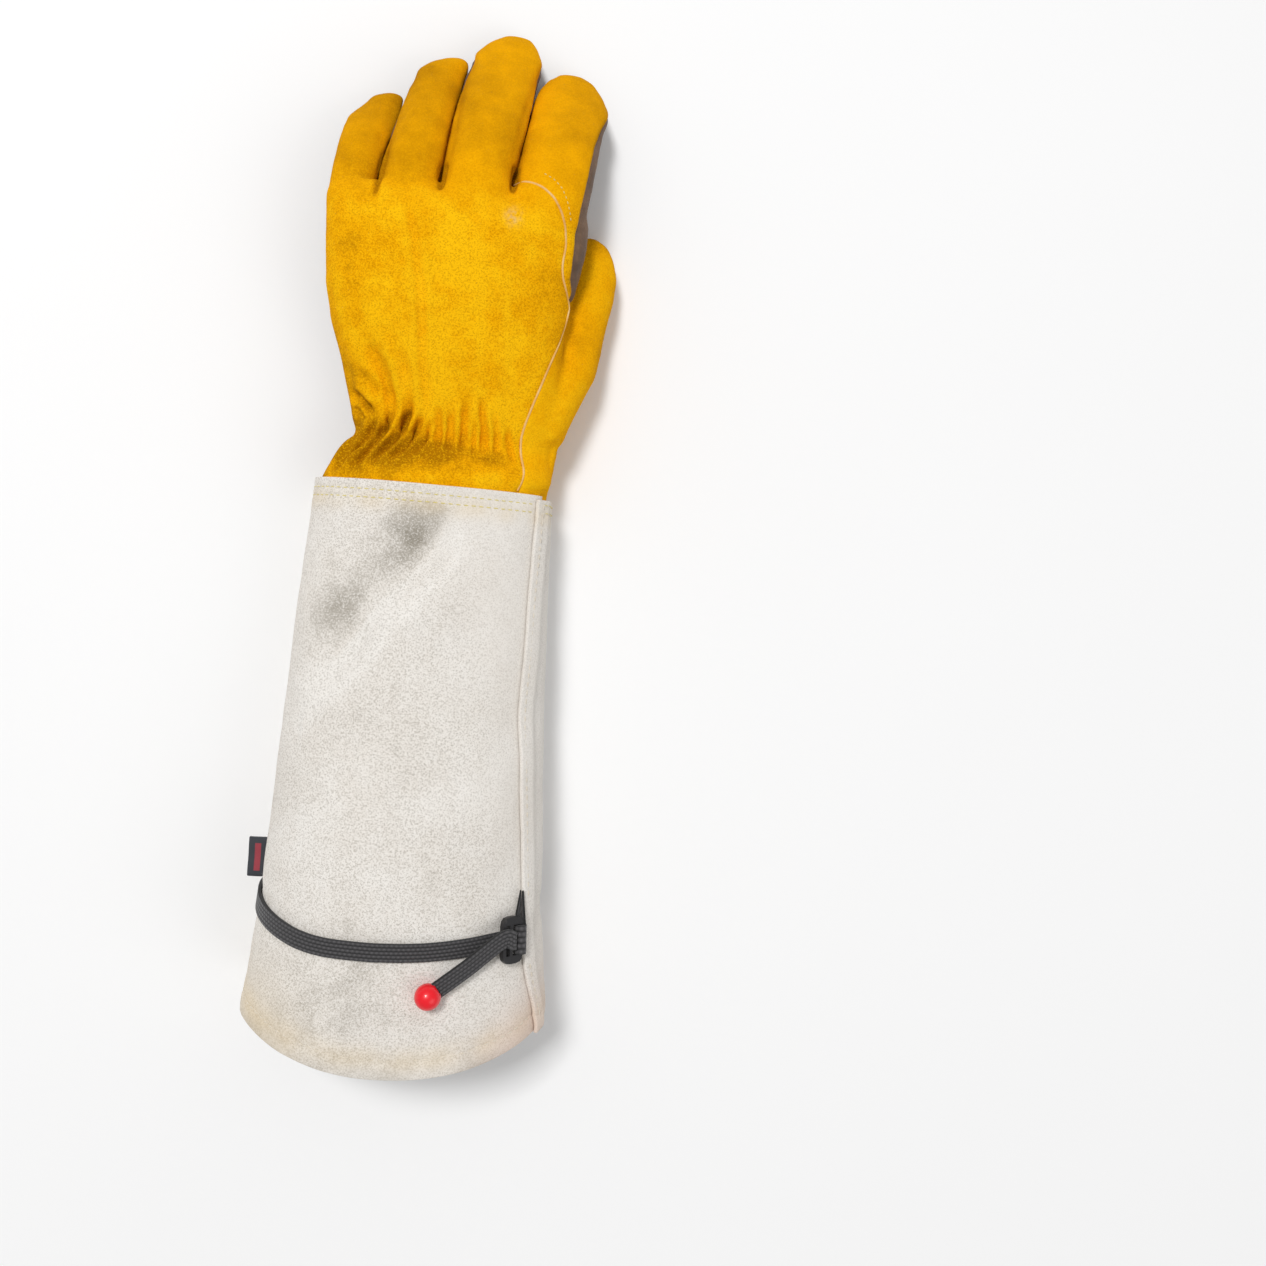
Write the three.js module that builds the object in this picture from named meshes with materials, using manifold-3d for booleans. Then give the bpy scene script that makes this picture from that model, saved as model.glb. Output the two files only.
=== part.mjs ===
// A long rose pruning gauntlet for the left hand, lying on its palm: a suede hand sewn into a
// flared split-leather cuff, with a webbing strap, its slider and a ball on the strap's tail.
// Millimetres. +Y runs along the cuff towards the fingertips, +X towards the thumb, +Z up.
// Inside this file y = 0 is the cuff's top edge and x = 0 the middle of the cuff there. The
// finished group is moved so that its origin is on the floor, under the middle of the glove.

import * as THREE from "three";
import { mergeVertices } from "three/addons/utils/BufferGeometryUtils.js";
import Module from "manifold-3d";

const wasm = await Module();
wasm.setup();

// Cuff
const CUFF_LENGTH = 247; // top edge to hem, down either side
const CUFF_TOP_WIDTH = 112;
const CUFF_HEM_WIDTH = 143;
const CUFF_TOP_HEIGHT = 54;
const CUFF_HEM_HEIGHT = 86;
const CUFF_WALL = 2;
const HEM_BOW = 16; // the hem is cut this much longer in the middle of each panel
const HEM_BOW_POWER = 2.5; // how far that bow keeps to the middle
const HEM_TURN = 14; // width of the leather turned in at the hem
const LAP = 6; // the under panel's free edge lies this far over the back panel
const LAP_RISE = 5; // length over which the under panel climbs onto the back panel
const PANEL_STEP = 2; // the under panel starts this far below the back panel

// Hand
const HAND_LENGTH = 223; // cuff's top edge to the middle fingertip
const PALM_WIDTH = 120; // across the knuckles
const HAND_HEIGHT = 62; // knuckles above the floor
const HAND_WALL = 1.6;
const THUMB_REACH = 130.5; // cuff's top edge to the thumb's tip
const THUMB_WIDTH = 34;
const THUMB_HEIGHT = 41; // highest point of the thumb's root above the floor
const FINGER_GAP = 1.6; // between two fingers
const FINGER_FUSE = 2.4; // how far two fingers run into each other below the slit between them
const SLIT_OPENING = 2; // length over which a slit opens
const LEAST_HALF = 0.5; // least half depth or width of a hollow's section
const TUCK = 14; // length of the hand that is sewn inside the cuff

// Seams
const SEAM_GAP = 0.4; // between two panels
const LAYER_GAP = 0.4; // between two layers that lie on each other
const TUCK_GAP = 0.8; // between the hand and the cuff round it
const WELT_WIDTH = 1.2;
const WELT_STAND = 0.7; // how far the welt stands out of the leather

// Strap, slider, ball and label
const STRAP_WIDTH = 8;
const STRAP_THICK = 1.4;
const STRAP_GAP = 0.7; // between the strap and the cuff
const STRAP_CINCH = 0.8; // how far the strap pulls the cuff in
const STRAP_EASE = 7; // length of cuff over which that dent fades
const STRAP_START = 0.96; // angle of its sewn end under the thumb's side, in turns
const STRAP_TURN = 0.14; // angle at which the strap's line sets the slider's height, in turns
const TAIL_RUN = 1; // how far the tail runs on past the slider before it turns down
const TAIL_RISE = 1.5; // how much higher up the cuff it leaves than the slider's middle
const TAIL_ARCH = 1.2; // how high it arches on its way to the ball
const SLIDER_LENGTH = 21;
const SLIDER_BAR = 1.7; // width of each of the three bars
const SLIDER_SLOT = 3.9; // width of the slot that holds the anchor and the strap's loop
const SLIDER_GRIP = 2; // width of the slot under the strap's tail
const SLIDER_THICK = 2.8;
const SLIDER_END = 3.6; // solid part beyond the slots, at each end
const SLIDER_CORNER = 4;
const SLIDER_OFF = 1.4; // from the seam's edge to the slider
const PART_GAP = 0.35; // between webbing and the slider's bars
const ANCHOR_WIDTH = 13; // at the slider's bar
const ANCHOR_FLARE = 17.5; // under the bar, where it starts to spread
const ANCHOR_SPREAD = 25; // at the seam
const ANCHOR_SLANT = 9; // how much higher up the cuff it is sewn than the slider sits
const ANCHOR_THICK = 1.2;
const BALL_DIAMETER = 11.6;
const BALL_DRAW = 4; // how far the tail goes into the ball
const BALL_TURN = 0.227; // its angle round the cuff, in turns
const BALL_DROP = 21; // how far it lies below the slider
const LABEL_LENGTH = 18.5;
const LABEL_STAND = 8; // how far the label stands out of the seam
const LABEL_ROOT = 3; // how far it goes into the seam
const LABEL_THICK = 1.2;
const LABEL_CORNER = 1.4;
const LABEL_AT = 0.7227; // its middle, as a share of the cuff's length

const CUFF_SHAPE = 2.3; // exponent of the cuff's section: 2 is an ellipse, more is squarer
const HAND_SHAPE = 2.4;
const CUFF_SIDES = 34;
const FINGER_SIDES = 14;
const CUFF_MIDDLE = 0.42; // height of the cuff's widest line, as a share of its height
const CUFF_BELLY = 1.16; // depth below the middle, over the height of the middle: the floor flattens it
const FAR = 400; // beyond every piece, for the cutting solids
const SLIVER = 0.05; // triangles flatter than this are merged

// The cuff from its top edge to its hem: share of the length, then the share of the way from
// the top's size to the hem's, for the width and the height, and how far its middle lies to the
// thumb's side as a share of the top width.
const CUFF_ROWS = [
  { at: 0, wide: 0, high: 0, off: 0.012 },
  { at: 0.08, wide: 0.07, high: 0.1, off: 0.009 },
  { at: 0.17, wide: 0.13, high: 0.22, off: 0.005 },
  { at: 0.27, wide: 0.2, high: 0.36, off: 0 },
  { at: 0.38, wide: 0.28, high: 0.5, off: -0.003 },
  { at: 0.5, wide: 0.36, high: 0.64, off: -0.003 },
  { at: 0.62, wide: 0.46, high: 0.78, off: -0.002 },
  { at: 0.77, wide: 0.6, high: 0.9, off: -0.001 },
  { at: 0.9, wide: 0.78, high: 0.97, off: 0 },
  { at: 1, wide: 1, high: 1, off: 0 },
];

// Dents in the cuff's back, each a soft valley between two points: x as a share of the cuff's
// half width, y as a share of its length, then half breadth and depth as shares of the top width.
const CUFF_DENTS = [
  { x0: 0.07, y0: 0.07, x1: -0.5, y1: 0.215, broad: 0.085, deep: 0.036 },
  { x0: -0.58, y0: 0.28, x1: -0.9, y1: 0.4, broad: 0.1, deep: 0.03 },
  { x0: 0.3, y0: 0.3, x1: 0.72, y1: 0.42, broad: 0.15, deep: 0.016 },
  { x0: 0.1, y0: 0.56, x1: 0.62, y1: 0.7, broad: 0.12, deep: 0.012 },
];

// Where the strap crosses the cuff: angle round the section in turns, from the thumb side over
// the back, and distance from the cuff's top edge as a share of its length.
const STRAP_ROUTE = [
  { turn: 0, at: 0.785 },
  { turn: 0.1, at: 0.82 },
  { turn: 0.14, at: 0.82 },
  { turn: 0.19, at: 0.829 },
  { turn: 0.25, at: 0.838 },
  { turn: 0.34, at: 0.834 },
  { turn: 0.39, at: 0.818 },
  { turn: 0.43, at: 0.804 },
  { turn: 0.5, at: 0.785 },
  { turn: 1, at: 0.785 },
];

// The seam on the cuff's thumb side: share of the length, and angle in turns.
const LAP_ROUTE = [
  { at: 0, turn: 0.102 },
  { at: 0.2, turn: 0.115 },
  { at: 0.4, turn: 0.119 },
  { at: 0.55, turn: 0.116 },
  { at: 0.75, turn: 0.106 },
  { at: 0.88, turn: 0.106 },
  { at: 0.95, turn: 0.088 },
  { at: 1, turn: 0.081 },
];

// The hand from the wrist to the knuckles: y as a share of the hand's length, left and right
// edges as shares of the palm's width, under and upper side as shares of the hand's height, and
// how strongly the elastic gathers the leather there.
const HAND_ROWS = [
  { at: 0.031, left: -0.406, right: 0.465, low: 0.062, high: 0.8, gather: 0.55 },
  { at: 0.066, left: -0.363, right: 0.475, low: 0.08, high: 0.765, gather: 0.9 },
  { at: 0.103, left: -0.315, right: 0.482, low: 0.095, high: 0.73, gather: 1 },
  { at: 0.131, left: -0.333, right: 0.487, low: 0.095, high: 0.745, gather: 0.9 },
  { at: 0.166, left: -0.345, right: 0.49, low: 0.095, high: 0.779, gather: 0.7 },
  { at: 0.21, left: -0.366, right: 0.486, low: 0.095, high: 0.823, gather: 0.5 },
  { at: 0.262, left: -0.392, right: 0.48, low: 0.1, high: 0.871, gather: 0.28 },
  { at: 0.328, left: -0.433, right: 0.475, low: 0.113, high: 0.919, gather: 0.12 },
  { at: 0.393, left: -0.456, right: 0.482, low: 0.145, high: 0.96, gather: 0 },
  { at: 0.459, left: -0.465, right: 0.505, low: 0.194, high: 0.984, gather: 0 },
  { at: 0.524, left: -0.469, right: 0.528, low: 0.242, high: 0.985, gather: 0 },
  { at: 0.575, left: -0.472, right: 0.53, low: 0.29, high: 0.94, gather: 0 },
  { at: 0.6, left: -0.455, right: 0.51, low: 0.37, high: 0.85, gather: 0 },
];

// The gathered folds across the back of the wrist, from the little finger's side: place as a
// share of the hand's width there, and depth as a share of the hand's height.
const FOLDS = [
  { at: 0.03, deep: 0.032 },
  { at: 0.08, deep: 0.04 },
  { at: 0.13, deep: 0.042 },
  { at: 0.19, deep: 0.038 },
  { at: 0.25, deep: 0.032 },
  { at: 0.32, deep: 0.026 },
  { at: 0.39, deep: 0.02 },
  { at: 0.47, deep: 0.018 },
  { at: 0.55, deep: 0.016 },
  { at: 0.63, deep: 0.016 },
  { at: 0.72, deep: 0.014 },
];
const FOLD_CREST = 0.35; // a crest stands this share of the depth out
const FOLDS_END = 0.8; // share across the hand where the gathers have run out

// The lines between the fingers and down the hand's two sides, each from its root to its end:
// x as a share of the palm's width, y as a share of the hand's length.
const EDGES = {
  outer: { x0: -0.473, y0: 0.563, x1: -0.427, y1: 0.83 },
  little_ring: { x0: -0.299, y0: 0.563, x1: -0.223, y1: 0.821 },
  ring_middle: { x0: -0.054, y0: 0.607, x1: 0.016, y1: 0.918 },
  middle_index: { x0: 0.216, y0: 0.619, x1: 0.312, y1: 0.931 },
  inner: { x0: 0.52, y0: 0.61, x1: 0.582, y1: 0.83 },
};

// Tip as a share of the hand's length, lean of the tip towards +X, height of the knuckle's
// middle and half depth there as shares of the hand's height.
const FINGERS = [
  { name: "little", left: "outer", right: "little_ring", tip: 0.843, lean: 1, middle: 0.53, deep: 0.25 },
  { name: "ring", left: "little_ring", right: "ring_middle", tip: 0.935, lean: 0.9, middle: 0.605, deep: 0.29 },
  { name: "middle", left: "ring_middle", right: "middle_index", tip: 1, lean: 0.35, middle: 0.645, deep: 0.32 },
  { name: "index", left: "middle_index", right: "inner", tip: 0.935, lean: -0.35, middle: 0.637, deep: 0.313 },
];
const FINGER_ROOT = 0.555; // where a finger's own rows count from, as a share of the hand's length

// One finger from its root to its tip: height of its middle, half depth and half width, as
// shares of those at the root.
const FINGER_ROWS = [
  { at: -0.16, middle: 0.93, deep: 0.86, wide: 0.9 },
  { at: 0, middle: 1, deep: 0.98, wide: 1 },
  { at: 0.15, middle: 1, deep: 0.96, wide: 1 },
  { at: 0.3, middle: 0.95, deep: 0.87, wide: 1 },
  { at: 0.45, middle: 0.84, deep: 0.77, wide: 1 },
  { at: 0.6, middle: 0.67, deep: 0.69, wide: 0.99 },
  { at: 0.74, middle: 0.47, deep: 0.63, wide: 0.95 },
  { at: 0.86, middle: 0.31, deep: 0.55, wide: 0.84 },
  { at: 0.94, middle: 0.23, deep: 0.42, wide: 0.66 },
  { at: 0.985, middle: 0.19, deep: 0.26, wide: 0.42 },
];

// The thumb: y as a share of its reach, x as a share of the palm's width, half width as a share
// of the thumb's width, height of its middle and half depth as shares of the thumb's height.
const THUMB_ROWS = [
  { at: 0.2, x: 0.3875, wide: 0.39, middle: 0.6, deep: 0.36 },
  { at: 0.3, x: 0.4125, wide: 0.435, middle: 0.585, deep: 0.39 },
  { at: 0.38, x: 0.4375, wide: 0.485, middle: 0.55, deep: 0.39 },
  { at: 0.46, x: 0.468, wide: 0.515, middle: 0.5, deep: 0.39 },
  { at: 0.55, x: 0.493, wide: 0.5, middle: 0.445, deep: 0.375 },
  { at: 0.655, x: 0.513, wide: 0.488, middle: 0.395, deep: 0.35 },
  { at: 0.76, x: 0.538, wide: 0.485, middle: 0.352, deep: 0.33 },
  { at: 0.855, x: 0.552, wide: 0.468, middle: 0.315, deep: 0.305 },
  { at: 0.92, x: 0.555, wide: 0.394, middle: 0.29, deep: 0.272 },
  { at: 0.965, x: 0.56, wide: 0.27, middle: 0.272, deep: 0.21 },
  { at: 0.99, x: 0.563, wide: 0.125, middle: 0.262, deep: 0.11 },
];
const THUMB_SIDES = 16;

// The seam across the back of the hand, from the slit beside the index finger, round the
// knuckle and down to the cuff: x as a share of the palm's width, y of the hand's length.
const BACK_SEAM = [
  { x: 0.224, y: 0.634 },
  { x: 0.28, y: 0.629 },
  { x: 0.326, y: 0.62 },
  { x: 0.373, y: 0.601 },
  { x: 0.407, y: 0.573 },
  { x: 0.427, y: 0.544 },
  { x: 0.435, y: 0.511 },
  { x: 0.426, y: 0.473 },
  { x: 0.433, y: 0.448 },
  { x: 0.454, y: 0.425 },
  { x: 0.475, y: 0.398 },
  { x: 0.465, y: 0.363 },
  { x: 0.444, y: 0.32 },
  { x: 0.409, y: 0.267 },
  { x: 0.3825, y: 0.224 },
  { x: 0.356, y: 0.181 },
  { x: 0.336, y: 0.147 },
  { x: 0.324, y: 0.117 },
  { x: 0.328, y: 0.082 },
  { x: 0.345, y: 0.048 },
  { x: 0.34, y: 0.026 },
  { x: 0.322, y: 0.004 },
  { x: 0.3125, y: -0.031 },
  { x: 0.307, y: -0.072 },
];
const SEAM_STEPS = 28; // points along the seam on the back
const STRAP_STEPS = 44; // stations along the strap up to the slider
const TAIL_STEPS = 12; // stations along its tail
const UNDER_SIDES = 9; // sides of the hand's section below its side seams
const PLAIN_ANGLES = [0, 0.2, 0.4, 0.6, 0.8]; // shares of the way from the side to the first fold
const ROW_TURN = 0.3; // angle that a panel's rows are read at, in turns
const BALL_RINGS = 10; // rings of the ball from pole to pole
const BALL_SIDES = 14;
const NORMAL_STEP = 0.02; // angle to each side over which a surface's direction is measured
const SLIT_PLACES = [1.1, 0.9, 0.75]; // shares of the hand's length where the slit's line is read
const CROTCH = 0.415; // where the thumb leaves the palm, as a share of the hand's length
const THUMB_ALLOWANCE = 0.3; // leather of the thumb's own that the cut leaves round it

// How far the palm's leather climbs the index finger's outer side, as a share of the hand's
// height, along the hand's length.
const WRAP_ROWS = [
  { at: 0.405, climb: 0 },
  { at: 0.45, climb: 0.16 },
  { at: 0.52, climb: 0.22 },
  { at: 0.6, climb: 0.25 },
  { at: 0.68, climb: 0.21 },
  { at: 0.74, climb: 0.16 },
  { at: 0.8, climb: 0.09 },
  { at: 0.86, climb: 0 },
];
const WRAP_REACH = 0.09; // how far in from the outer edge it climbs, as a share of the palm's width
const WRAP_MIDDLE = 0.04; // the same, to the middle of that rise
const SEAM_BLEND = 0.2; // share of a finger before its root where the seam leaves the hand's side
const SEAM_STEP = 0.3; // to each side of a slit, where the seam's height changes fingers

// Small helpers

const lerp = (a, b, t) => a + (b - a) * t;
const signedPower = (v, p) => Math.sign(v) * Math.abs(v) ** p;
const turns = (t) => t * 2 * Math.PI;

// The value of one column of a table at a place along another, on straight lines between rows.
function along(table, key, column, place) {
  const last = table.length - 1;
  if (place <= table[0][key]) return table[0][column];
  if (place >= table[last][key]) return table[last][column];
  const i = table.findIndex((row, k) => k < last && place <= table[k + 1][key]);
  const share = (place - table[i][key]) / (table[i + 1][key] - table[i][key]);
  return lerp(table[i][column], table[i + 1][column], share);
}

// A point of a flattened, squared oval in the plane y.
function ovalPoint(shape, y, angle, exponent) {
  const power = 2 / exponent;
  const across = signedPower(Math.cos(angle), power);
  const upright = signedPower(Math.sin(angle), power);
  return new THREE.Vector3(
    shape.x + shape.wide * across,
    y,
    shape.middle + (upright > 0 ? shape.up : shape.down) * upright,
  );
}

// Solids

// A geometry from corners and triangles, turned so that its faces point out.
function closedGeometry(points, triangles) {
  let volume = 0;
  for (const [a, b, c] of triangles) {
    volume += points[a].dot(new THREE.Vector3().crossVectors(points[b], points[c]));
  }
  const order = volume < 0 ? triangles.map(([a, b, c]) => [a, c, b]) : triangles;
  const geometry = new THREE.BufferGeometry().setFromPoints(points);
  geometry.setIndex(order.flat());
  return geometry;
}

// The two triangles of a four-cornered face.
const quad = (a, b, c, d) => [
  [a, b, c],
  [a, c, d],
];

// Closes a stack of rings, each with as many points, with a fan to a point at either end.
function loft(rings, first, last) {
  const sides = rings[0].length;
  const points = rings.flat();
  const triangles = [];
  for (let r = 0; r + 1 < rings.length; r++) {
    for (let s = 0; s < sides; s++) {
      const next = (s + 1) % sides;
      const [low, high] = [r * sides, (r + 1) * sides];
      triangles.push(...quad(low + s, low + next, high + next, high + s));
    }
  }
  const [start, end] = [points.length, points.length + 1];
  points.push(first, last);
  const top = (rings.length - 1) * sides;
  for (let s = 0; s < sides; s++) {
    const next = (s + 1) % sides;
    triangles.push([start, next, s], [end, top + s, top + next]);
  }
  return closedGeometry(points, triangles);
}

// A wall between two grids of points, each [row][station], closed along all four edges.
function wall(outer, inner) {
  const [rows, stations] = [outer.length, outer[0].length];
  const points = [...outer.flat(), ...inner.flat()];
  const o = (r, s) => r * stations + s;
  const i = (r, s) => rows * stations + o(r, s);
  const triangles = [];
  for (let r = 0; r + 1 < rows; r++) {
    for (let s = 0; s + 1 < stations; s++) {
      triangles.push(...quad(o(r, s), o(r, s + 1), o(r + 1, s + 1), o(r + 1, s)));
      triangles.push(...quad(i(r, s), i(r + 1, s), i(r + 1, s + 1), i(r, s + 1)));
    }
    const end = stations - 1;
    triangles.push(...quad(o(r, 0), o(r + 1, 0), i(r + 1, 0), i(r, 0)));
    triangles.push(...quad(o(r, end), i(r, end), i(r + 1, end), o(r + 1, end)));
  }
  for (let s = 0; s + 1 < stations; s++) {
    const end = rows - 1;
    triangles.push(...quad(o(0, s), i(0, s), i(0, s + 1), o(0, s + 1)));
    triangles.push(...quad(o(end, s), o(end, s + 1), i(end, s + 1), i(end, s)));
  }
  return closedGeometry(points, triangles);
}

// A flat band swept along a path of { p, up }, up being the side that one face looks to. A
// place on the path may have its own width and its own direction across the band.
function band(path, width, thick) {
  const rings = path.map(({ p, up, wide = width, across }, k) => {
    const before = path[Math.max(k - 1, 0)].p;
    const after = path[Math.min(k + 1, path.length - 1)].p;
    const run = after.clone().sub(before).normalize();
    const side = across ?? new THREE.Vector3().crossVectors(run, up).normalize();
    const lift = new THREE.Vector3().crossVectors(side, run).normalize();
    return [
      [-1, -1],
      [1, -1],
      [1, 1],
      [-1, 1],
    ].map(([s, l]) =>
      p.clone().addScaledVector(side, (s * wide) / 2).addScaledVector(lift, (l * thick) / 2),
    );
  });
  return loft(rings, path[0].p, path[path.length - 1].p);
}

// A closed geometry as a solid that can be cut and joined.
function solidOf(geometry) {
  const bare = geometry.index ? geometry.toNonIndexed() : geometry.clone();
  bare.deleteAttribute("normal");
  bare.deleteAttribute("uv");
  const merged = mergeVertices(bare, 1e-4);
  return new wasm.Manifold(
    new wasm.Mesh({
      numProp: 3,
      vertProperties: merged.attributes.position.array,
      triVerts: new Uint32Array(merged.index.array),
    }),
  );
}

// A cut solid as a geometry again, without the slivers and crumbs that cutting leaves.
function geometryOf(solid) {
  const bodies = solid.simplify(SLIVER).decompose();
  const mesh = bodies.reduce((a, b) => (a.volume() > b.volume() ? a : b)).getMesh();
  const geometry = new THREE.BufferGeometry();
  geometry.setAttribute("position", new THREE.BufferAttribute(mesh.vertProperties, 3));
  geometry.setIndex(new THREE.BufferAttribute(mesh.triVerts, 1));
  const flat = geometry.toNonIndexed();
  flat.computeVertexNormals();
  return flat;
}

// An upright prism over a plan outline of [x, y] points.
function prism(outline, low, high) {
  const shape = new THREE.Shape(outline.map(([x, y]) => new THREE.Vector2(x, y)));
  const geometry = new THREE.ExtrudeGeometry(shape, { depth: high - low, bevelEnabled: false });
  return solidOf(geometry.translate(0, 0, low));
}

// An upright wall of some thickness that follows a line of plan points.
function fence(line, thick) {
  const sides = [1, -1].map((side) =>
    line.map((p, k) => {
      const run = line[Math.min(k + 1, line.length - 1)].clone().sub(line[Math.max(k - 1, 0)]);
      run.normalize();
      return [p.x - (run.y * side * thick) / 2, p.y + (run.x * side * thick) / 2];
    }),
  );
  return prism([...sides[0], ...sides[1].reverse()], -FAR, FAR);
}

// The cuff

const cuffShare = (y) => Math.min(Math.max(-y / CUFF_LENGTH, 0), 1);

// The plan line of the strap at an angle.
function strapY(angle) {
  const turn = (((angle / turns(1)) % 1) + 1) % 1;
  return -CUFF_LENGTH * along(STRAP_ROUTE, "turn", "at", turn);
}

// How deep the dents press the cuff's back in at a place.
function dentDepth(x, y, halfWidth) {
  return CUFF_DENTS.reduce((sum, dent) => {
    const from = new THREE.Vector2(dent.x0 * halfWidth, -dent.y0 * CUFF_LENGTH);
    const to = new THREE.Vector2(dent.x1 * halfWidth, -dent.y1 * CUFF_LENGTH);
    const run = to.clone().sub(from);
    const here = new THREE.Vector2(x, y).sub(from);
    const share = Math.min(Math.max(here.dot(run) / run.lengthSq(), 0), 1);
    const away = here.distanceTo(run.multiplyScalar(share)) / (dent.broad * CUFF_TOP_WIDTH);
    return sum + dent.deep * CUFF_TOP_WIDTH * Math.exp(-away * away);
  }, 0);
}

// A point of the cuff's surface, moved in by inset.
function cuffPoint(angle, y, inset) {
  const at = cuffShare(y);
  const halfWidth = lerp(CUFF_TOP_WIDTH, CUFF_HEM_WIDTH, along(CUFF_ROWS, "at", "wide", at)) / 2;
  const height = lerp(CUFF_TOP_HEIGHT, CUFF_HEM_HEIGHT, along(CUFF_ROWS, "at", "high", at));
  const offStrap = Math.abs(y - strapY(angle)) - STRAP_WIDTH / 2;
  const pinch = Math.min(Math.max(1 - offStrap / STRAP_EASE, 0), 1);
  const shape = {
    x: CUFF_TOP_WIDTH * along(CUFF_ROWS, "at", "off", at),
    wide: halfWidth - inset - STRAP_CINCH * pinch,
    middle: CUFF_MIDDLE * height,
    up: (1 - CUFF_MIDDLE) * height - inset - STRAP_CINCH * pinch,
    down: CUFF_MIDDLE * height * CUFF_BELLY - inset,
  };
  const p = ovalPoint(shape, y, angle, CUFF_SHAPE);
  const dent = p.z > shape.middle ? dentDepth(p.x, y, halfWidth) : 0;
  const across = (p.x - shape.x) / shape.wide;
  const out = new THREE.Vector2(across, (p.z - shape.middle) / shape.up).normalize();
  p.x -= out.x * dent;
  p.z -= out.y * dent;
  const floor = inset + pinch * (STRAP_THICK + STRAP_GAP + PART_GAP);
  p.z = Math.max(p.z, floor);
  return p;
}

// The direction that the cuff's surface faces.
function cuffNormal(angle, y) {
  const round = cuffPoint(angle + NORMAL_STEP, y, 0).sub(cuffPoint(angle - NORMAL_STEP, y, 0));
  const down = cuffPoint(angle, y + 1, 0).sub(cuffPoint(angle, y - 1, 0));
  return round.cross(down).normalize().negate();
}

// The hem's place at an angle: each panel is longest in its middle.
const hemY = (angle) => -CUFF_LENGTH - HEM_BOW * Math.abs(Math.sin(angle)) ** HEM_BOW_POWER;

// The y of a row of the cuff's grid at an angle. Rows above the strap are shares of the way
// from the top edge to the strap's upper ease, and the last ones run from there to the hem.
const UPPER_ROWS = CUFF_ROWS.slice(0, -2).map((row) => row.at / CUFF_ROWS[CUFF_ROWS.length - 3].at);
function cuffRows(angle, top) {
  const strap = strapY(angle);
  const [edge, ease] = [STRAP_WIDTH / 2, STRAP_WIDTH / 2 + STRAP_EASE];
  const hem = hemY(angle);
  return [
    ...UPPER_ROWS.map((share) => lerp(top, strap + ease, share)),
    strap + edge,
    strap - edge,
    strap - ease,
    hem + HEM_TURN,
    hem + HEM_TURN - 1,
    hem,
  ];
}

const lapAngle = (y) => turns(along(LAP_ROUTE, "at", "turn", cuffShare(y)));
const shoulderRadius = (y) =>
  0.5 * lerp(CUFF_TOP_HEIGHT, CUFF_HEM_HEIGHT, along(CUFF_ROWS, "at", "high", cuffShare(y)));

// One panel of the cuff: from and to give its edges' angles at a y. The one that laps climbs
// onto the other along its far edge.
function cuffPanel(from, to, top, laps) {
  const rowCount = cuffRows(0, top).length;
  const turnedIn = rowCount - 2; // from this row down the hem is double
  const count = Math.round(((to(top) - from(top)) / turns(1)) * CUFF_SIDES);
  const grid = (inner) =>
    Array.from({ length: rowCount }, (_, r) => {
      const guess = cuffRows(turns(ROW_TURN), top)[r];
      const [a, b] = [from(guess), to(guess)];
      const radius = shoulderRadius(guess);
      const head = laps ? [a] : [a, a + (LAP / 2 - 1) / radius, a + (LAP - 1) / radius];
      const tail = laps ? [LAP + LAP_RISE, LAP, LAP / 2, 0].map((mm) => b - mm / radius) : [b];
      const stations = [...head];
      const last = head[head.length - 1];
      for (let s = 1; s < count; s++) stations.push(lerp(last, tail[0], s / count));
      stations.push(...tail);
      return stations.map((angle) => {
        const y = cuffRows(angle, top)[r];
        const raised = laps ? lapLift((b - angle) * radius) : 0;
        const turned = r >= turnedIn && raised === 0;
        const thick = turned ? 2 * CUFF_WALL : CUFF_WALL;
        return cuffPoint(angle, y, (inner ? thick : 0) - raised);
      });
    });
  return wall(grid(false), grid(true));
}

const seamAngle = (y) => SEAM_GAP / 2 / shoulderRadius(y);
const lapLift = (mm) => {
  const share = Math.min(Math.max((LAP + LAP_RISE - mm) / LAP_RISE, 0), 1);
  return share * (CUFF_WALL + LAYER_GAP);
};

const cuffBack = cuffPanel(
  (y) => lapAngle(y) - (LAP - 1) / shoulderRadius(y),
  (y) => turns(0.5) - seamAngle(y),
  0,
  false,
);
const cuffUnder = cuffPanel(
  (y) => turns(0.5) + seamAngle(y),
  (y) => turns(1) + lapAngle(y),
  -PANEL_STEP,
  true,
);

// The hand

// Angles round the hand's section: each fold's valley, the crests between them, and the sides.
function handAngles() {
  const valleys = FOLDS.map((fold) => fold.at);
  const crests = valleys.slice(1).map((at, k) => (at + valleys[k]) / 2);
  const folded = [...valleys, ...crests].map((share) =>
    Math.acos(signedPower(2 * share - 1, HAND_SHAPE / 2)),
  );
  const least = Math.min(...folded);
  const plain = PLAIN_ANGLES.map((share) => share * least);
  const side = (Math.max(...folded) + Math.PI) / 2;
  const under = Array.from({ length: UNDER_SIDES }, (_, k) => Math.PI * (1 + k / UNDER_SIDES));
  return [...plain, ...folded, side, ...under].sort((a, b) => a - b);
}
const HAND_ANGLES = handAngles();

// How far the gathers move the surface out at a share across the hand, for full strength.
function foldHeight(share) {
  const marks = FOLDS.flatMap((fold, k) => {
    const next = FOLDS[k + 1];
    const valley = { at: fold.at, rise: -fold.deep };
    if (!next) return [valley];
    return [valley, { at: (fold.at + next.at) / 2, rise: FOLD_CREST * fold.deep }];
  });
  marks.unshift({ at: 0, rise: 0 });
  marks.push({ at: FOLDS_END, rise: 0 });
  return HAND_HEIGHT * along(marks, "at", "rise", share);
}

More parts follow.
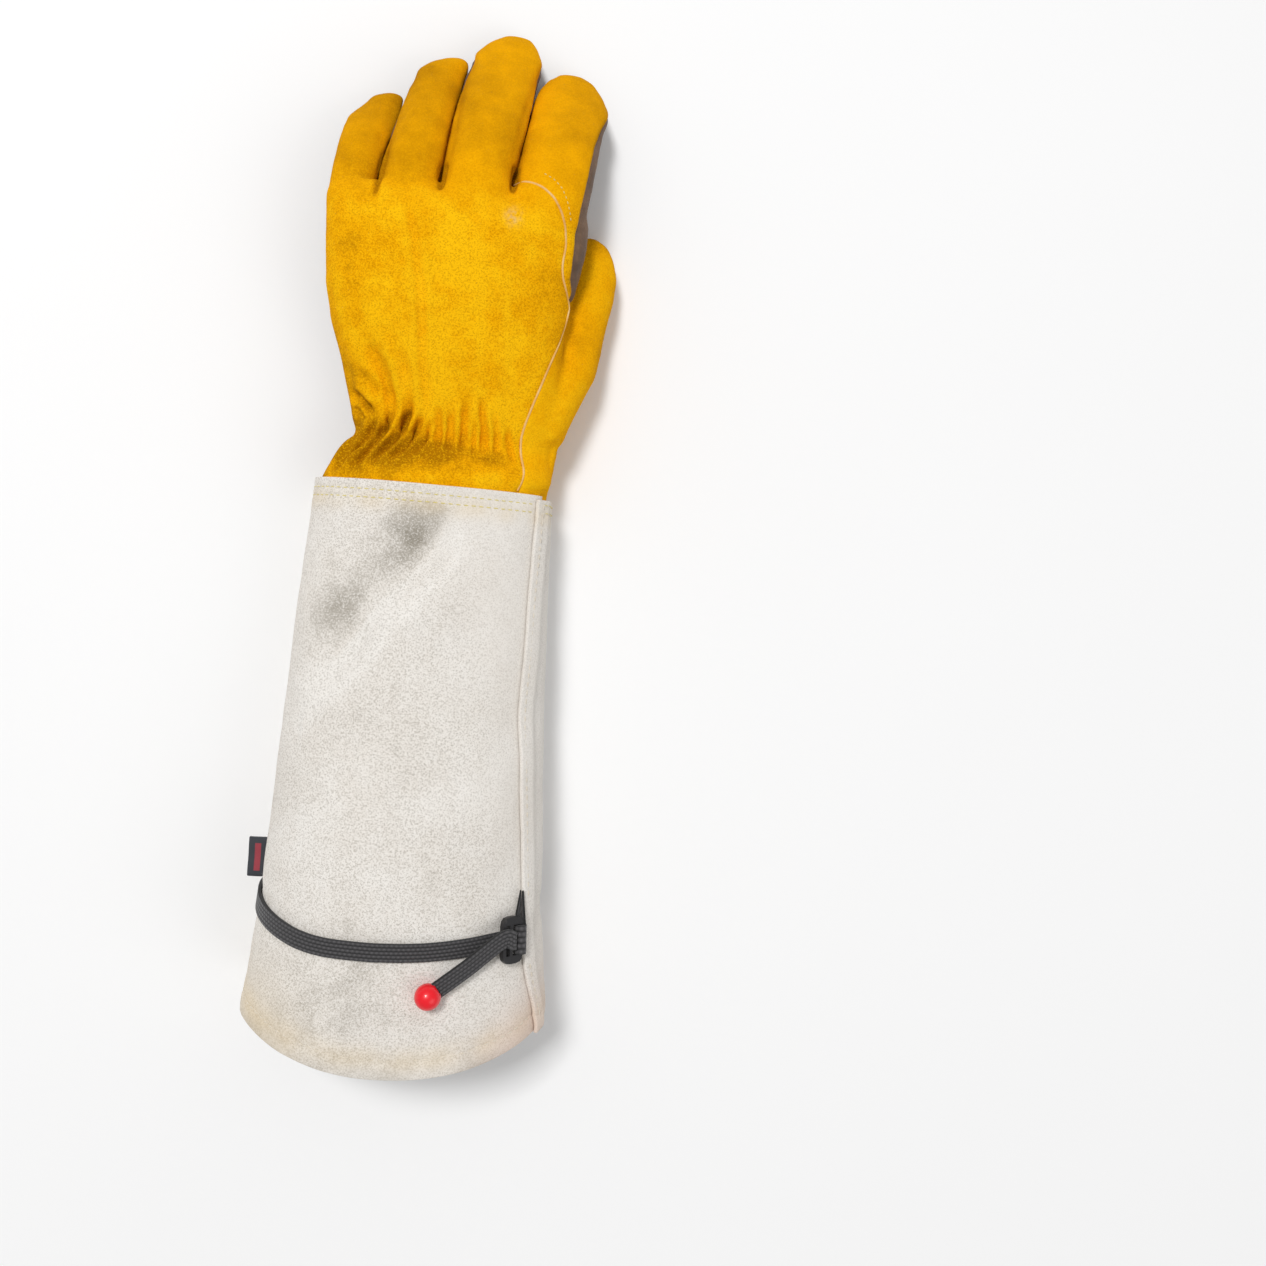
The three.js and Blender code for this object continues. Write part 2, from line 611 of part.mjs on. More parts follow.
// The ring of the hand's body at one row, moved in by inset.
function handRing(row, inset) {
  const [left, right] = [row.left * PALM_WIDTH, row.right * PALM_WIDTH];
  const [low, high] = [row.low * HAND_HEIGHT, row.high * HAND_HEIGHT];
  const shape = {
    x: (left + right) / 2,
    wide: (right - left) / 2 - inset,
    middle: (low + high) / 2,
    up: (high - low) / 2 - inset,
    down: (high - low) / 2 - inset,
  };
  return HAND_ANGLES.map((angle) => {
    const p = ovalPoint(shape, row.at * HAND_LENGTH, angle, HAND_SHAPE);
    if (angle > Math.PI) return p;
    const across = (p.x - shape.x) / shape.wide;
    const rise = row.gather * foldHeight((across + 1) / 2);
    const out = new THREE.Vector2(across, (p.z - shape.middle) / shape.up).normalize();
    return p.add(new THREE.Vector3(out.x * rise, 0, out.y * rise));
  });
}

// The part of the hand inside the cuff, which follows the cuff's own section.
function tuckRing(y, inset) {
  const room = CUFF_WALL + TUCK_GAP + inset;
  return HAND_ANGLES.map((angle) => {
    const p = cuffPoint(angle, Math.min(y, 0), room);
    p.y = y;
    return p;
  });
}

// The hand's body. A cavity, which has an inset, runs on past the open end.
function handBody(inset) {
  const open = inset > 0 ? TUCK * 2 : TUCK;
  const rings = [tuckRing(-open, inset), tuckRing(1, inset)];
  for (const row of HAND_ROWS) rings.push(handRing(row, inset));
  if (inset > 0) {
    rings[rings.length - 1].forEach((p) => {
      p.y -= inset;
    });
  }
  const centre = (ring) =>
    ring.reduce((sum, p) => sum.add(p), new THREE.Vector3()).divideScalar(ring.length);
  return solidOf(loft(rings, centre(rings[0]), centre(rings[rings.length - 1])));
}

// The x of one of the lines beside the fingers.
function edgeX(name, y) {
  const edge = EDGES[name];
  const share = (y / HAND_LENGTH - edge.y0) / (edge.y1 - edge.y0);
  return PALM_WIDTH * lerp(edge.x0, edge.x1, share);
}

// How far a finger stays from a line beside it: past a slit's root half the gap, and before it
// the two fingers run into each other.
function edgeRoom(name, y, inset) {
  if (name === "outer" || name === "inner") return inset;
  const past = y - EDGES[name].y0 * HAND_LENGTH;
  const opened = Math.min(Math.max(past / SLIT_OPENING, 0), 1);
  return lerp(-FINGER_FUSE, FINGER_GAP / 2, opened) + inset;
}

// The places along a finger where its shape has a row: its own, and where its slits open.
function fingerPlaces(finger, inset) {
  const root = FINGER_ROOT * HAND_LENGTH;
  const tip = finger.tip * HAND_LENGTH - inset;
  const own = FINGER_ROWS.map((row) => lerp(root, tip, row.at));
  const slits = [finger.left, finger.right]
    .filter((name) => name !== "outer" && name !== "inner")
    .map((name) => EDGES[name].y0 * HAND_LENGTH)
    .flatMap((start) => [start, start + SLIT_OPENING]);
  return { root, tip, places: [...own, ...slits].sort((a, b) => a - b) };
}

// A finger's section at a y: the middle, half width, and half depth.
function fingerShape(finger, y, root, tip, inset) {
  const at = (y - root) / (tip - root);
  const left = edgeX(finger.left, y) + edgeRoom(finger.left, y, inset);
  const right = edgeX(finger.right, y) - edgeRoom(finger.right, y, inset);
  const wide = along(FINGER_ROWS, "at", "wide", at);
  const half = (right - left) / 2;
  const deep = finger.deep * HAND_HEIGHT * along(FINGER_ROWS, "at", "deep", at) - inset;
  return {
    x: (left + right) / 2 + finger.lean * half * (1 - wide),
    wide: half * wide,
    middle: finger.middle * HAND_HEIGHT * along(FINGER_ROWS, "at", "middle", at),
    up: Math.max(deep, LEAST_HALF),
    down: Math.max(deep, LEAST_HALF),
  };
}

// Rings of a tube that lies along y, kept above the floor, with a rounded tip.
function tube(places, shapeAt, sides, tip, inset) {
  const rings = places.map((y) => {
    const shape = shapeAt(y);
    return Array.from({ length: sides }, (_, s) => {
      const p = ovalPoint(shape, y, turns((s + 0.5) / sides), HAND_SHAPE);
      p.z = Math.max(p.z, Math.max(inset, 0));
      return p;
    });
  });
  const first = shapeAt(places[0]);
  const last = shapeAt(places[places.length - 1]);
  return solidOf(
    loft(
      rings,
      new THREE.Vector3(first.x, places[0], first.middle),
      new THREE.Vector3(last.x, tip, last.middle),
    ),
  );
}

function fingerTube(finger, inset) {
  const { root, tip, places } = fingerPlaces(finger, inset);
  return tube(places, (y) => fingerShape(finger, y, root, tip, inset), FINGER_SIDES, tip, inset);
}

function thumbTube(inset) {
  const tip = THUMB_REACH - inset;
  const shapeAt = (y) => {
    const at = y / tip;
    const deep = THUMB_HEIGHT * along(THUMB_ROWS, "at", "deep", at) - inset;
    return {
      x: PALM_WIDTH * along(THUMB_ROWS, "at", "x", at),
      wide: Math.max(THUMB_WIDTH * along(THUMB_ROWS, "at", "wide", at) - inset, LEAST_HALF),
      middle: THUMB_HEIGHT * along(THUMB_ROWS, "at", "middle", at),
      up: Math.max(deep, LEAST_HALF),
      down: Math.max(deep, LEAST_HALF),
    };
  };
  const places = THUMB_ROWS.map((row) => row.at * tip);
  return tube(places, shapeAt, THUMB_SIDES, tip, inset);
}

// The whole hand as one filled form, moved in by inset.
function handForm(inset) {
  return FINGERS.reduce(
    (form, finger) => form.add(fingerTube(finger, inset)),
    handBody(inset),
  ).add(thumbTube(inset));
}

// The height of the seam between the hand's back and its palm.
function seamHeight(x, y) {
  const row = y / HAND_LENGTH;
  const bodyMiddle =
    (HAND_HEIGHT * (along(HAND_ROWS, "at", "low", row) + along(HAND_ROWS, "at", "high", row))) / 2;
  const finger = FINGERS.find((f) => x <= edgeX(f.right, y)) ?? FINGERS[FINGERS.length - 1];
  const root = FINGER_ROOT * HAND_LENGTH;
  const at = (y - root) / (finger.tip * HAND_LENGTH - root);
  const middle = finger.middle * HAND_HEIGHT * along(FINGER_ROWS, "at", "middle", at);
  const climb = HAND_HEIGHT * along(WRAP_ROWS, "at", "climb", row);
  const near = (x - edgeX("inner", y)) / (WRAP_REACH * PALM_WIDTH) + 1;
  const blend = Math.min(Math.max(at / SEAM_BLEND + 1, 0), 1);
  return lerp(bodyMiddle, middle, blend) + climb * Math.min(Math.max(near, 0), 1);
}

// Where the seam's height is worked out along the fingers, as shares of the hand's length.
const SPINE_PLACES = [0.64, 0.68, 0.73, 0.78, 0.83, 0.88];

// Everything on one side of the seam between back and palm, side being 1 above and -1 below.
function seamSide(side) {
  const slits = ["little_ring", "ring_middle", "middle_index"];
  const wrap = [-WRAP_REACH, -WRAP_MIDDLE, 0].map(
    (share) => (y) => edgeX("inner", y) + share * PALM_WIDTH,
  );
  const columns = [
    () => -FAR,
    ...slits.flatMap((name) => [(y) => edgeX(name, y) - SEAM_STEP, (y) => edgeX(name, y) + SEAM_STEP]),
    ...wrap,
    () => FAR,
  ];
  const tips = FINGERS.map((finger) => finger.tip);
  const rows = HAND_ROWS.map((row) => row.at);
  const places = [-1, ...rows, ...SPINE_PLACES, ...tips, 2].sort((a, b) => a - b);
  const near = places.map((at) =>
    columns.map((column) => {
      const y = at * HAND_LENGTH;
      const x = column(y);
      const z = seamHeight(x, y) + (side * SEAM_GAP) / 2;
      return new THREE.Vector3(x, y, z);
    }),
  );
  const far = near.map((row) => row.map((p) => new THREE.Vector3(p.x, p.y, side * FAR)));
  return solidOf(wall(near, far));
}

const seamPoint = ({ x, y }) => new THREE.Vector2(x * PALM_WIDTH, y * HAND_LENGTH);
const backSeam = new THREE.SplineCurve(BACK_SEAM.map(seamPoint)).getPoints(SEAM_STEPS);
const crotchY = CROTCH * HAND_LENGTH;

// The plan region on the thumb's side of the back seam, between two values of y.
function beyondSeam(low, high) {
  const line = backSeam.map((p) => [p.x, p.y]);
  const inside = line.filter(([, y]) => y > low && y < high);
  const first = along([...line].reverse().map(([x, y]) => ({ x, y })), "y", "x", high);
  const last = along([...line].reverse().map(([x, y]) => ({ x, y })), "y", "x", low);
  return prism([[first, high], ...inside, [last, low], [FAR, low], [FAR, high]], -FAR, FAR);
}

// The index finger's side of the middle slit and of the seam round its knuckle.
function indexRegion() {
  const start = backSeam[0];
  const slit = SLIT_PLACES.map((share) => share * HAND_LENGTH);
  const arc = backSeam.filter((p) => p.y > crotchY).map((p) => [p.x, p.y]);
  const slitLine = slit.map((y) => [edgeX("middle_index", y), y]);
  const slitStart = [edgeX("middle_index", start.y), start.y];
  const end = arc[arc.length - 1];
  const outline = [...slitLine, slitStart, ...arc, [end[0], crotchY], [FAR, crotchY], [FAR, slit[0]]];
  return prism(outline, -FAR, FAR);
}

const outer = handForm(0);
const inner = handForm(HAND_WALL);
const shell = outer.subtract(inner);
const above = seamSide(1);
const below = seamSide(-1);

const slab = (low, high) => prism([[-FAR, low], [FAR, low], [FAR, high], [-FAR, high]], -FAR, FAR);
const pastCrotch = slab(crotchY - 2 * SEAM_GAP, FAR);
const thumbZone = beyondSeam(-2 * TUCK, crotchY - SEAM_GAP).add(
  thumbTube(-THUMB_ALLOWANCE).intersect(pastCrotch),
);
const thumbRoom = beyondSeam(-2 * TUCK, crotchY).add(
  thumbTube(-THUMB_ALLOWANCE - SEAM_GAP).intersect(pastCrotch),
);
const upperKerf = fence(backSeam, WELT_WIDTH + 2 * SEAM_GAP).intersect(above);
const lowerKerf = fence(backSeam, SEAM_GAP).intersect(below).intersect(slab(-FAR, crotchY));
const kerf = upperKerf.add(lowerKerf);

const handBack = shell.intersect(above).subtract(thumbRoom).subtract(kerf);
const indexZone = indexRegion();
const backPanel = handBack.subtract(indexZone);
const indexPanel = handBack.intersect(indexZone);
const palmPanel = shell.intersect(below).subtract(thumbRoom).subtract(lowerKerf);
const thumbPanel = shell.intersect(thumbZone).subtract(kerf);

const seamWelt = handForm(-WELT_STAND)
  .subtract(inner)
  .intersect(fence(backSeam, WELT_WIDTH))
  .intersect(above)
  .intersect(slab(1, FAR));

// Strap, slider, anchor and ball

// The slider's own frame: x round the cuff towards the strap, y along the cuff, z out of it.
const sliderWidth = 3 * SLIDER_BAR + SLIDER_SLOT + SLIDER_GRIP;
const middleBar = -sliderWidth / 2 + SLIDER_BAR + SLIDER_SLOT; // its edge on the seam's side
const sliderY = strapY(turns(STRAP_TURN));
const sliderAngle = lapAngle(sliderY) + (sliderWidth / 2 + SLIDER_OFF) / shoulderRadius(sliderY);
const sliderLift = STRAP_CINCH + STRAP_GAP + STRAP_THICK + PART_GAP + SLIDER_THICK / 2;

function frameOn(angle, y) {
  const out = cuffNormal(angle, y);
  const round = new THREE.Vector3().crossVectors(out, new THREE.Vector3(0, 1, 0)).normalize();
  const axis = new THREE.Vector3().crossVectors(out, round);
  const matrix = new THREE.Matrix4().makeBasis(round, axis, out);
  return matrix.setPosition(cuffPoint(angle, y, 0));
}
const sliderFrame = frameOn(sliderAngle, sliderY);
const inSlider = (x, y, z) => new THREE.Vector3(x, y, z).applyMatrix4(sliderFrame);
const turned = (x, y, z) => new THREE.Vector3(x, y, z).transformDirection(sliderFrame);

function roundedOutline(width, length, radius) {
  const shape = new THREE.Shape();
  const [w, l] = [width / 2, length / 2];
  shape.moveTo(-w + radius, -l);
  shape.lineTo(w - radius, -l);
  shape.quadraticCurveTo(w, -l, w, -l + radius);
  shape.lineTo(w, l - radius);
  shape.quadraticCurveTo(w, l, w - radius, l);
  shape.lineTo(-w + radius, l);
  shape.quadraticCurveTo(-w, l, -w, l - radius);
  shape.lineTo(-w, -l + radius);
  shape.quadraticCurveTo(-w, -l, -w + radius, -l);
  return shape;
}

// A flat plate with rounded corners, lying in the plane z = 0.
function plate(width, length, thick, radius) {
  const geometry = new THREE.ExtrudeGeometry(roundedOutline(width, length, radius), {
    depth: thick,
    bevelEnabled: false,
    curveSegments: 3,
  });
  return geometry.translate(0, 0, -thick / 2);
}

function sliderSolid() {
  const slotEnd = SLIDER_LENGTH / 2 - SLIDER_END;
  const slots = [
    { from: middleBar - SLIDER_SLOT, to: middleBar },
    { from: middleBar + SLIDER_BAR, to: middleBar + SLIDER_BAR + SLIDER_GRIP },
  ];
  return slots.reduce((body, { from, to }) => {
    const corners = [
      [from, -slotEnd],
      [to, -slotEnd],
      [to, slotEnd],
      [from, slotEnd],
    ];
    return body.subtract(prism(corners, -SLIDER_THICK, SLIDER_THICK));
  }, solidOf(plate(sliderWidth, SLIDER_LENGTH, SLIDER_THICK, SLIDER_CORNER)));
}

// The bend that webbing makes round a bar's edge, from under the bar to over it.
function roundBar(barEdge, side, thick) {
  const radius = PART_GAP + thick / 2;
  return [-1, 1].flatMap((half) =>
    [0, 1, 2].map((k) => {
      const angle = (Math.PI / 4) * (half < 0 ? k : 2 - k);
      const [out, up] = [Math.sin(angle), half * Math.cos(angle)];
      const rise = (half * SLIDER_THICK) / 2 + radius * up;
      return {
        p: inSlider(barEdge + side * radius * out, 0, sliderLift + rise),
        up: turned(-side * out, 0, -up),
      };
    }),
  );
}

// The ball rests on the cuff's back beside the strap.
const ballRadius = BALL_DIAMETER / 2;
const ballY = sliderY - BALL_DROP;
const ballSeat = cuffPoint(turns(BALL_TURN), ballY, 0);
const ballOut = cuffNormal(turns(BALL_TURN), ballY);
const ballCentre = ballSeat.clone().addScaledVector(ballOut, ballRadius + PART_GAP);

// The strap from the seam on the underside, round the little finger's side and over the back,
// round the slider's middle bar and on to the ball.
function strapPath() {
  const lift = STRAP_GAP + STRAP_THICK / 2;
  const start = turns(STRAP_START);
  const end = sliderAngle + (middleBar + 2 * SLIDER_BAR) / shoulderRadius(sliderY);
  const path = [];
  for (let k = 0; k <= STRAP_STEPS; k++) {
    const angle = lerp(start, end, k / STRAP_STEPS);
    const y = strapY(angle);
    const up = cuffNormal(angle, y);
    path.push({ p: cuffPoint(angle, y, 0).addScaledVector(up, lift), up });
  }
  const loop = roundBar(middleBar, -1, STRAP_THICK);
  path.push(...loop);
  const above = sliderLift + SLIDER_THICK / 2 + PART_GAP + STRAP_THICK / 2;
  const leave = inSlider(sliderWidth / 2 + TAIL_RUN, -TAIL_RISE, above);
  const towards = leave.clone().sub(ballCentre).normalize();
  const stop = ballCentre.clone().addScaledVector(towards, ballRadius - BALL_DRAW);
  const over = leave.clone().lerp(stop, 0.5).addScaledVector(ballOut, TAIL_ARCH);
  const curve = new THREE.CatmullRomCurve3([loop[loop.length - 1].p, leave, over, stop]);
  for (const p of curve.getPoints(TAIL_STEPS).slice(1)) path.push({ p, up: turned(0, 0, -1) });
  return path;
}

// The anchor: webbing folded round the slider's bar beside the seam, both ends in the seam.
function anchorPath() {
  const lapEdge = -(sliderWidth / 2 + SLIDER_OFF - PART_GAP);
  const rise = sliderLift - SLIDER_THICK / 2 - PART_GAP - ANCHOR_THICK / 2;
  const loop = roundBar(-(sliderWidth / 2 - SLIDER_BAR), 1, ANCHOR_THICK);
  const sewn = (lift, up) => ({
    p: inSlider(lapEdge, -ANCHOR_SLANT, lift),
    up,
    wide: ANCHOR_SPREAD,
  });
  const under = sewn(rise, turned(0, 0, 1));
  const flare = {
    p: inSlider(middleBar - SLIDER_SLOT - PART_GAP, (ANCHOR_WIDTH - ANCHOR_FLARE) / 2, rise),
    up: turned(0, 0, 1),
    wide: ANCHOR_FLARE,
  };
  const corner = roundBar(-sliderWidth / 2, -1, ANCHOR_THICK).slice(3).reverse();
  const over = sewn(rise + ANCHOR_THICK + LAYER_GAP, turned(1, 0, 0));
  const across = turned(0, 1, 0);
  return [under, flare, ...loop, ...corner, over].map((place) => ({ ...place, across }));
}

const strap = solidOf(band(strapPath(), STRAP_WIDTH, STRAP_THICK));
const anchor = solidOf(band(anchorPath(), ANCHOR_WIDTH, ANCHOR_THICK));

function ballSolid() {
  const profile = Array.from({ length: BALL_RINGS + 1 }, (_, k) => {
    const angle = Math.PI * (k / BALL_RINGS - 0.5);
    const x = k === 0 || k === BALL_RINGS ? 0 : ballRadius * Math.cos(angle);
    return new THREE.Vector2(x, ballRadius * Math.sin(angle));
  });
  const ball = solidOf(new THREE.LatheGeometry(profile, BALL_SIDES)).translate(ballCentre.toArray());
  const hole = band(strapPath().slice(-4), STRAP_WIDTH + 2 * PART_GAP, STRAP_THICK + 2 * PART_GAP);
  return ball.subtract(solidOf(hole));
}

// The label stands out of the cuff's seam on the little finger's side.
const labelSeat = cuffPoint(turns(0.5), -LABEL_AT * CUFF_LENGTH, 0);

function labelGeometry(grow) {
  const width = LABEL_STAND + LABEL_ROOT + 2 * grow;
  const geometry = plate(width, LABEL_LENGTH + 2 * grow, LABEL_THICK + 2 * grow, LABEL_CORNER);
  return geometry.translate((LABEL_ROOT - LABEL_STAND) / 2, 0, 0);
}
const labelNotch = solidOf(labelGeometry(PART_GAP)).translate(labelSeat.toArray());

// Materials and nodes

const suedeYellow = new THREE.MeshStandardMaterial({ color: 0xe6a40a, roughness: 0.95, metalness: 0 });
const leatherBrown = new THREE.MeshStandardMaterial({ color: 0x7b6047, roughness: 0.8, metalness: 0 });
const leatherCream = new THREE.MeshStandardMaterial({ color: 0xdcd4c8, roughness: 0.95, metalness: 0 });
const weltTan = new THREE.MeshStandardMaterial({ color: 0xe2b274, roughness: 0.85, metalness: 0 });
const webbingBlack = new THREE.MeshStandardMaterial({ color: 0x2b2b2d, roughness: 0.85, metalness: 0 });
const plasticBlack = new THREE.MeshStandardMaterial({ color: 0x202022, roughness: 0.4, metalness: 0 });
const plasticRed = new THREE.MeshStandardMaterial({ color: 0xe0152b, roughness: 0.35, metalness: 0 });
const labelCharcoal = new THREE.MeshStandardMaterial({ color: 0x35363a, roughness: 0.8, metalness: 0 });

function named(name, geometry, material) {
  const mesh = new THREE.Mesh(geometry, material);
  mesh.name = name;
  return mesh;
}

const glove = new THREE.Group();
glove.add(
  named("back_panel", geometryOf(backPanel), suedeYellow),
  named("index_panel", geometryOf(indexPanel), suedeYellow),
  named("thumb_panel", geometryOf(thumbPanel), suedeYellow),
  named("palm_panel", geometryOf(palmPanel), leatherBrown),
  named("seam_welt", geometryOf(seamWelt), weltTan),
  named("cuff_back", geometryOf(solidOf(cuffBack).subtract(labelNotch)), leatherCream),
  named("cuff_under", geometryOf(solidOf(cuffUnder).subtract(labelNotch)), leatherCream),
  named("strap", geometryOf(strap), webbingBlack),
  named("slider_anchor", geometryOf(anchor), webbingBlack),
  named("strap_ball", geometryOf(ballSolid()), plasticRed),
);

const slider = named("slider", geometryOf(sliderSolid()), plasticBlack);
const sliderGroup = new THREE.Group();
sliderGroup.applyMatrix4(sliderFrame);
slider.position.set(0, 0, sliderLift);
sliderGroup.add(slider);
glove.add(sliderGroup);

const label = named("label_tab", labelGeometry(0), labelCharcoal);
label.position.copy(labelSeat);
glove.add(label);

// The origin goes to the middle of the glove's outline, on the floor.
const box = new THREE.Box3().setFromObject(glove, true);
glove.position.set(-(box.min.x + box.max.x) / 2, -(box.min.y + box.max.y) / 2, -box.min.z);
const part = new THREE.Group();
part.add(glove);

export default part;
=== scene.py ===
"""Looks of a rose pruning gauntlet for the left hand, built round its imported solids."""

import logging
import math
from collections.abc import Callable, Sequence
from dataclasses import dataclass, field
from enum import Enum

import bmesh
import bpy
import numpy as np
from mathutils import Matrix, Vector, noise
from mathutils.bvhtree import BVHTree


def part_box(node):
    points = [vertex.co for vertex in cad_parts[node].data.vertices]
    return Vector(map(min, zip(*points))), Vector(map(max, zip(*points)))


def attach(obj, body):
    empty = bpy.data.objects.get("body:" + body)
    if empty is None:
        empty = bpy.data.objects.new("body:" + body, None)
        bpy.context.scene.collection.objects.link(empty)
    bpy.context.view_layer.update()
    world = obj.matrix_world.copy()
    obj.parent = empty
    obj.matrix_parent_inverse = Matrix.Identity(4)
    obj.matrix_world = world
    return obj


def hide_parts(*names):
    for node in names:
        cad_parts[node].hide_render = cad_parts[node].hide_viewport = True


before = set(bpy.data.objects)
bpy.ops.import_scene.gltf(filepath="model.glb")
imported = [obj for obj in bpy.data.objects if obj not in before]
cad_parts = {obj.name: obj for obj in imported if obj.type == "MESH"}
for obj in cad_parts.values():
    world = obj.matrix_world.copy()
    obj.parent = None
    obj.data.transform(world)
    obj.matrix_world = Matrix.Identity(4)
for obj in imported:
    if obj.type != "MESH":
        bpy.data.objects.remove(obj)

MM = 0.001
# The plan's origin, which is the middle of the cuff's top edge, in the row frame.
PLAN_X = -4.567 * MM
PLAN_Y = 20.01 * MM
# Corners of a solid that are closer than this are one.
WELD = 0.005 * MM
# Vertices that are closer than this to a cut are on it.
CUT = 0.01 * MM
LOG = logging.getLogger("gauntlet")

Points = np.ndarray
Rgb = tuple[float, float, float]
Line = tuple[tuple[float, float], ...]


class Slot(Enum):
    """Material slots of the record, one passed with each piece."""

    SUEDE = "yellow_suede"
    PALM = "brown_leather"
    WELT = "welt"
    CUFF = "cream_split_leather"
    WEBBING = "black_webbing"
    PLASTIC = "black_plastic"
    BALL = "red_plastic"
    LABEL = "label"


# Small helpers


def from_srgb(red: int, green: int, blue: int) -> Rgb:
    """Turns a colour of 0 to 255 into scene linear values.

    Args:
        red: Red of 0 to 255.
        green: Green of 0 to 255.
        blue: Blue of 0 to 255.

    Returns:
        The three linear values.
    """

    def linear(value: int) -> float:
        """Decodes one channel."""
        share = value / 255
        return share / 12.92 if share <= 0.04045 else ((share + 0.055) / 1.055) ** 2.4

    return linear(red), linear(green), linear(blue)


def smooth_step(low: float, high: float, value: Points) -> Points:
    """Rises softly from 0 at low to 1 at high.

    Args:
        low: Where it is 0.
        high: Where it is 1.
        value: Places to read it at.

    Returns:
        The share at each place.
    """
    share = np.clip((value - low) / (high - low), 0, 1)
    return share * share * (3 - 2 * share)


def bell(value: Points, width: float, middle: float = 0.0) -> Points:
    """Falls softly on both sides from 1 at middle.

    Args:
        value: Places to read it at.
        width: How far off it has fallen to 1/e.
        middle: Where it is 1.

    Returns:
        The share at each place.
    """
    return np.exp(-(((value - middle) / width) ** 2))


def walk(line: Points) -> Points:
    """Length walked along a line at each of its points."""
    return np.concatenate([[0], np.cumsum(np.linalg.norm(np.diff(line, axis=0), axis=1))])


def grain(points: Points, size: float, seed: float) -> Points:
    """Soft noise of one size at each point.

    Args:
        points: Places, in metres.
        size: Rough size of one lump, in metres.
        seed: Shift that makes this noise unlike another.

    Returns:
        Values of about -1 to 1.
    """
    shifted = points / size + seed
    return np.array([noise.noise(Vector(p)) for p in shifted.tolist()])


def stroke_distance(x: Points, y: Points, line: Sequence[tuple[float, float]]) -> tuple[Points, Points]:
    """Distance of plan points from a line, and how far along it they are.

    Args:
        x: Plan x of each point, in metres.
        y: Plan y of each point, in metres.
        line: Corners of the line, in plan millimetres.

    Returns:
        The distance in metres, and the share of the way along the line.
    """
    corners = np.array(line) * MM
    steps = np.linalg.norm(np.diff(corners, axis=0), axis=1)
    walked = np.concatenate([[0], np.cumsum(steps)])
    best = np.full(x.shape, 1e9)
    share = np.zeros(x.shape)
    for k, (a, b) in enumerate(zip(corners[:-1], corners[1:])):
        run = b - a
        t = np.clip(((x - a[0]) * run[0] + (y - a[1]) * run[1]) / (run @ run), 0, 1)
        away = np.hypot(x - a[0] - t * run[0], y - a[1] - t * run[1])
        closer = away < best
        best = np.where(closer, away, best)
        share = np.where(closer, (walked[k] + t * steps[k]) / walked[-1], share)
    return best, share


def new_object(name: str, data: bpy.types.ID) -> bpy.types.Object:
    """Puts a mesh, curve, light or camera into the scene as an object at the origin."""
    piece = bpy.data.objects.new(name, data)
    bpy.context.scene.collection.objects.link(piece)
    return piece


def mesh_from(bm: bmesh.types.BMesh, name: str, smooth: bool = True) -> bpy.types.Mesh:
    """Writes a bmesh into a new mesh and frees it.

    Args:
        bm: The bmesh.
        name: Name of the mesh.
        smooth: Whether its faces are shaded smooth.

    Returns:
        The mesh.
    """
    mesh = bpy.data.meshes.new(name)
    bm.to_mesh(mesh)
    bm.free()
    mesh.polygons.foreach_set("use_smooth", [smooth] * len(mesh.polygons))
    return mesh


def pour(part: bmesh.types.BMesh, whole: bmesh.types.BMesh) -> None:
    """Adds one bmesh to another and frees it."""
    mesh = mesh_from(part, "part")
    whole.from_mesh(mesh)
    bpy.data.meshes.remove(mesh)


def bake_modifiers(piece: bpy.types.Object) -> None:
    """Replaces a piece's mesh by what its modifiers make of it."""
    graph = bpy.context.evaluated_depsgraph_get()
    made = bpy.data.meshes.new_from_object(piece.evaluated_get(graph), depsgraph=graph)
    made.name = piece.data.name
    piece.modifiers.clear()
    piece.data = made


def add_walls(piece: bpy.types.Object, thickness: float, offset: float, group: str = "") -> None:
    """Gives a sheet its thickness.

    Args:
        piece: The sheet.
        thickness: Full thickness.
        offset: -1 for all of it inwards, 0 for half on either side.
        group: Vertex group that scales it, if any.
    """
    walls = piece.modifiers.new("walls", "SOLIDIFY")
    walls.thickness = thickness
    walls.offset = offset
    walls.vertex_group = group


def add_rounding(piece: bpy.types.Object, width: float, degrees: float) -> None:
    """Rounds edges that are sharper than an angle."""
    rounding = piece.modifiers.new("rounding", "BEVEL")
    rounding.width = width
    rounding.segments = 2
    rounding.limit_method = "ANGLE"
    rounding.angle_limit = math.radians(degrees)


def dress(piece: bpy.types.Object, slot: Slot, material: bpy.types.Material, *nodes: str) -> None:
    """Finishes a piece: its material, its body and the nodes that it stands for.

    Args:
        piece: The piece.
        slot: Material slot of the record; not used.
        material: Its material.
        *nodes: CAD nodes that it replaces.
    """
    piece.data.materials.clear()
    piece.data.materials.append(material)
    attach(piece, "root")
    if nodes:
        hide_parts(*nodes)
    LOG.info("%s: %d faces", piece.name, len(piece.data.polygons))


def coordinates(mesh: bpy.types.Mesh) -> Points:
    """The mesh's vertices as an array."""
    flat = np.empty(len(mesh.vertices) * 3, np.float32)
    mesh.vertices.foreach_get("co", flat)
    return flat.reshape(-1, 3).astype(float)


def set_coordinates(mesh: bpy.types.Mesh, points: Points) -> None:
    """Moves the mesh's vertices to the given places."""
    mesh.vertices.foreach_set("co", points.astype(np.float32).ravel())
    mesh.update()


def normals_of(mesh: bpy.types.Mesh) -> Points:
    """The mesh's vertex normals as an array."""
    flat = np.empty(len(mesh.vertices) * 3, np.float32)
    mesh.vertex_normals.foreach_get("vector", flat)
    return flat.reshape(-1, 3).astype(float)


def add_attribute(mesh: bpy.types.Mesh, name: str, values: Points) -> None:
    """Stores a value for each vertex under a name that a material can read."""
    layer = mesh.attributes.new(name, "FLOAT", "POINT")
    layer.data.foreach_set("value", values.astype(np.float32))


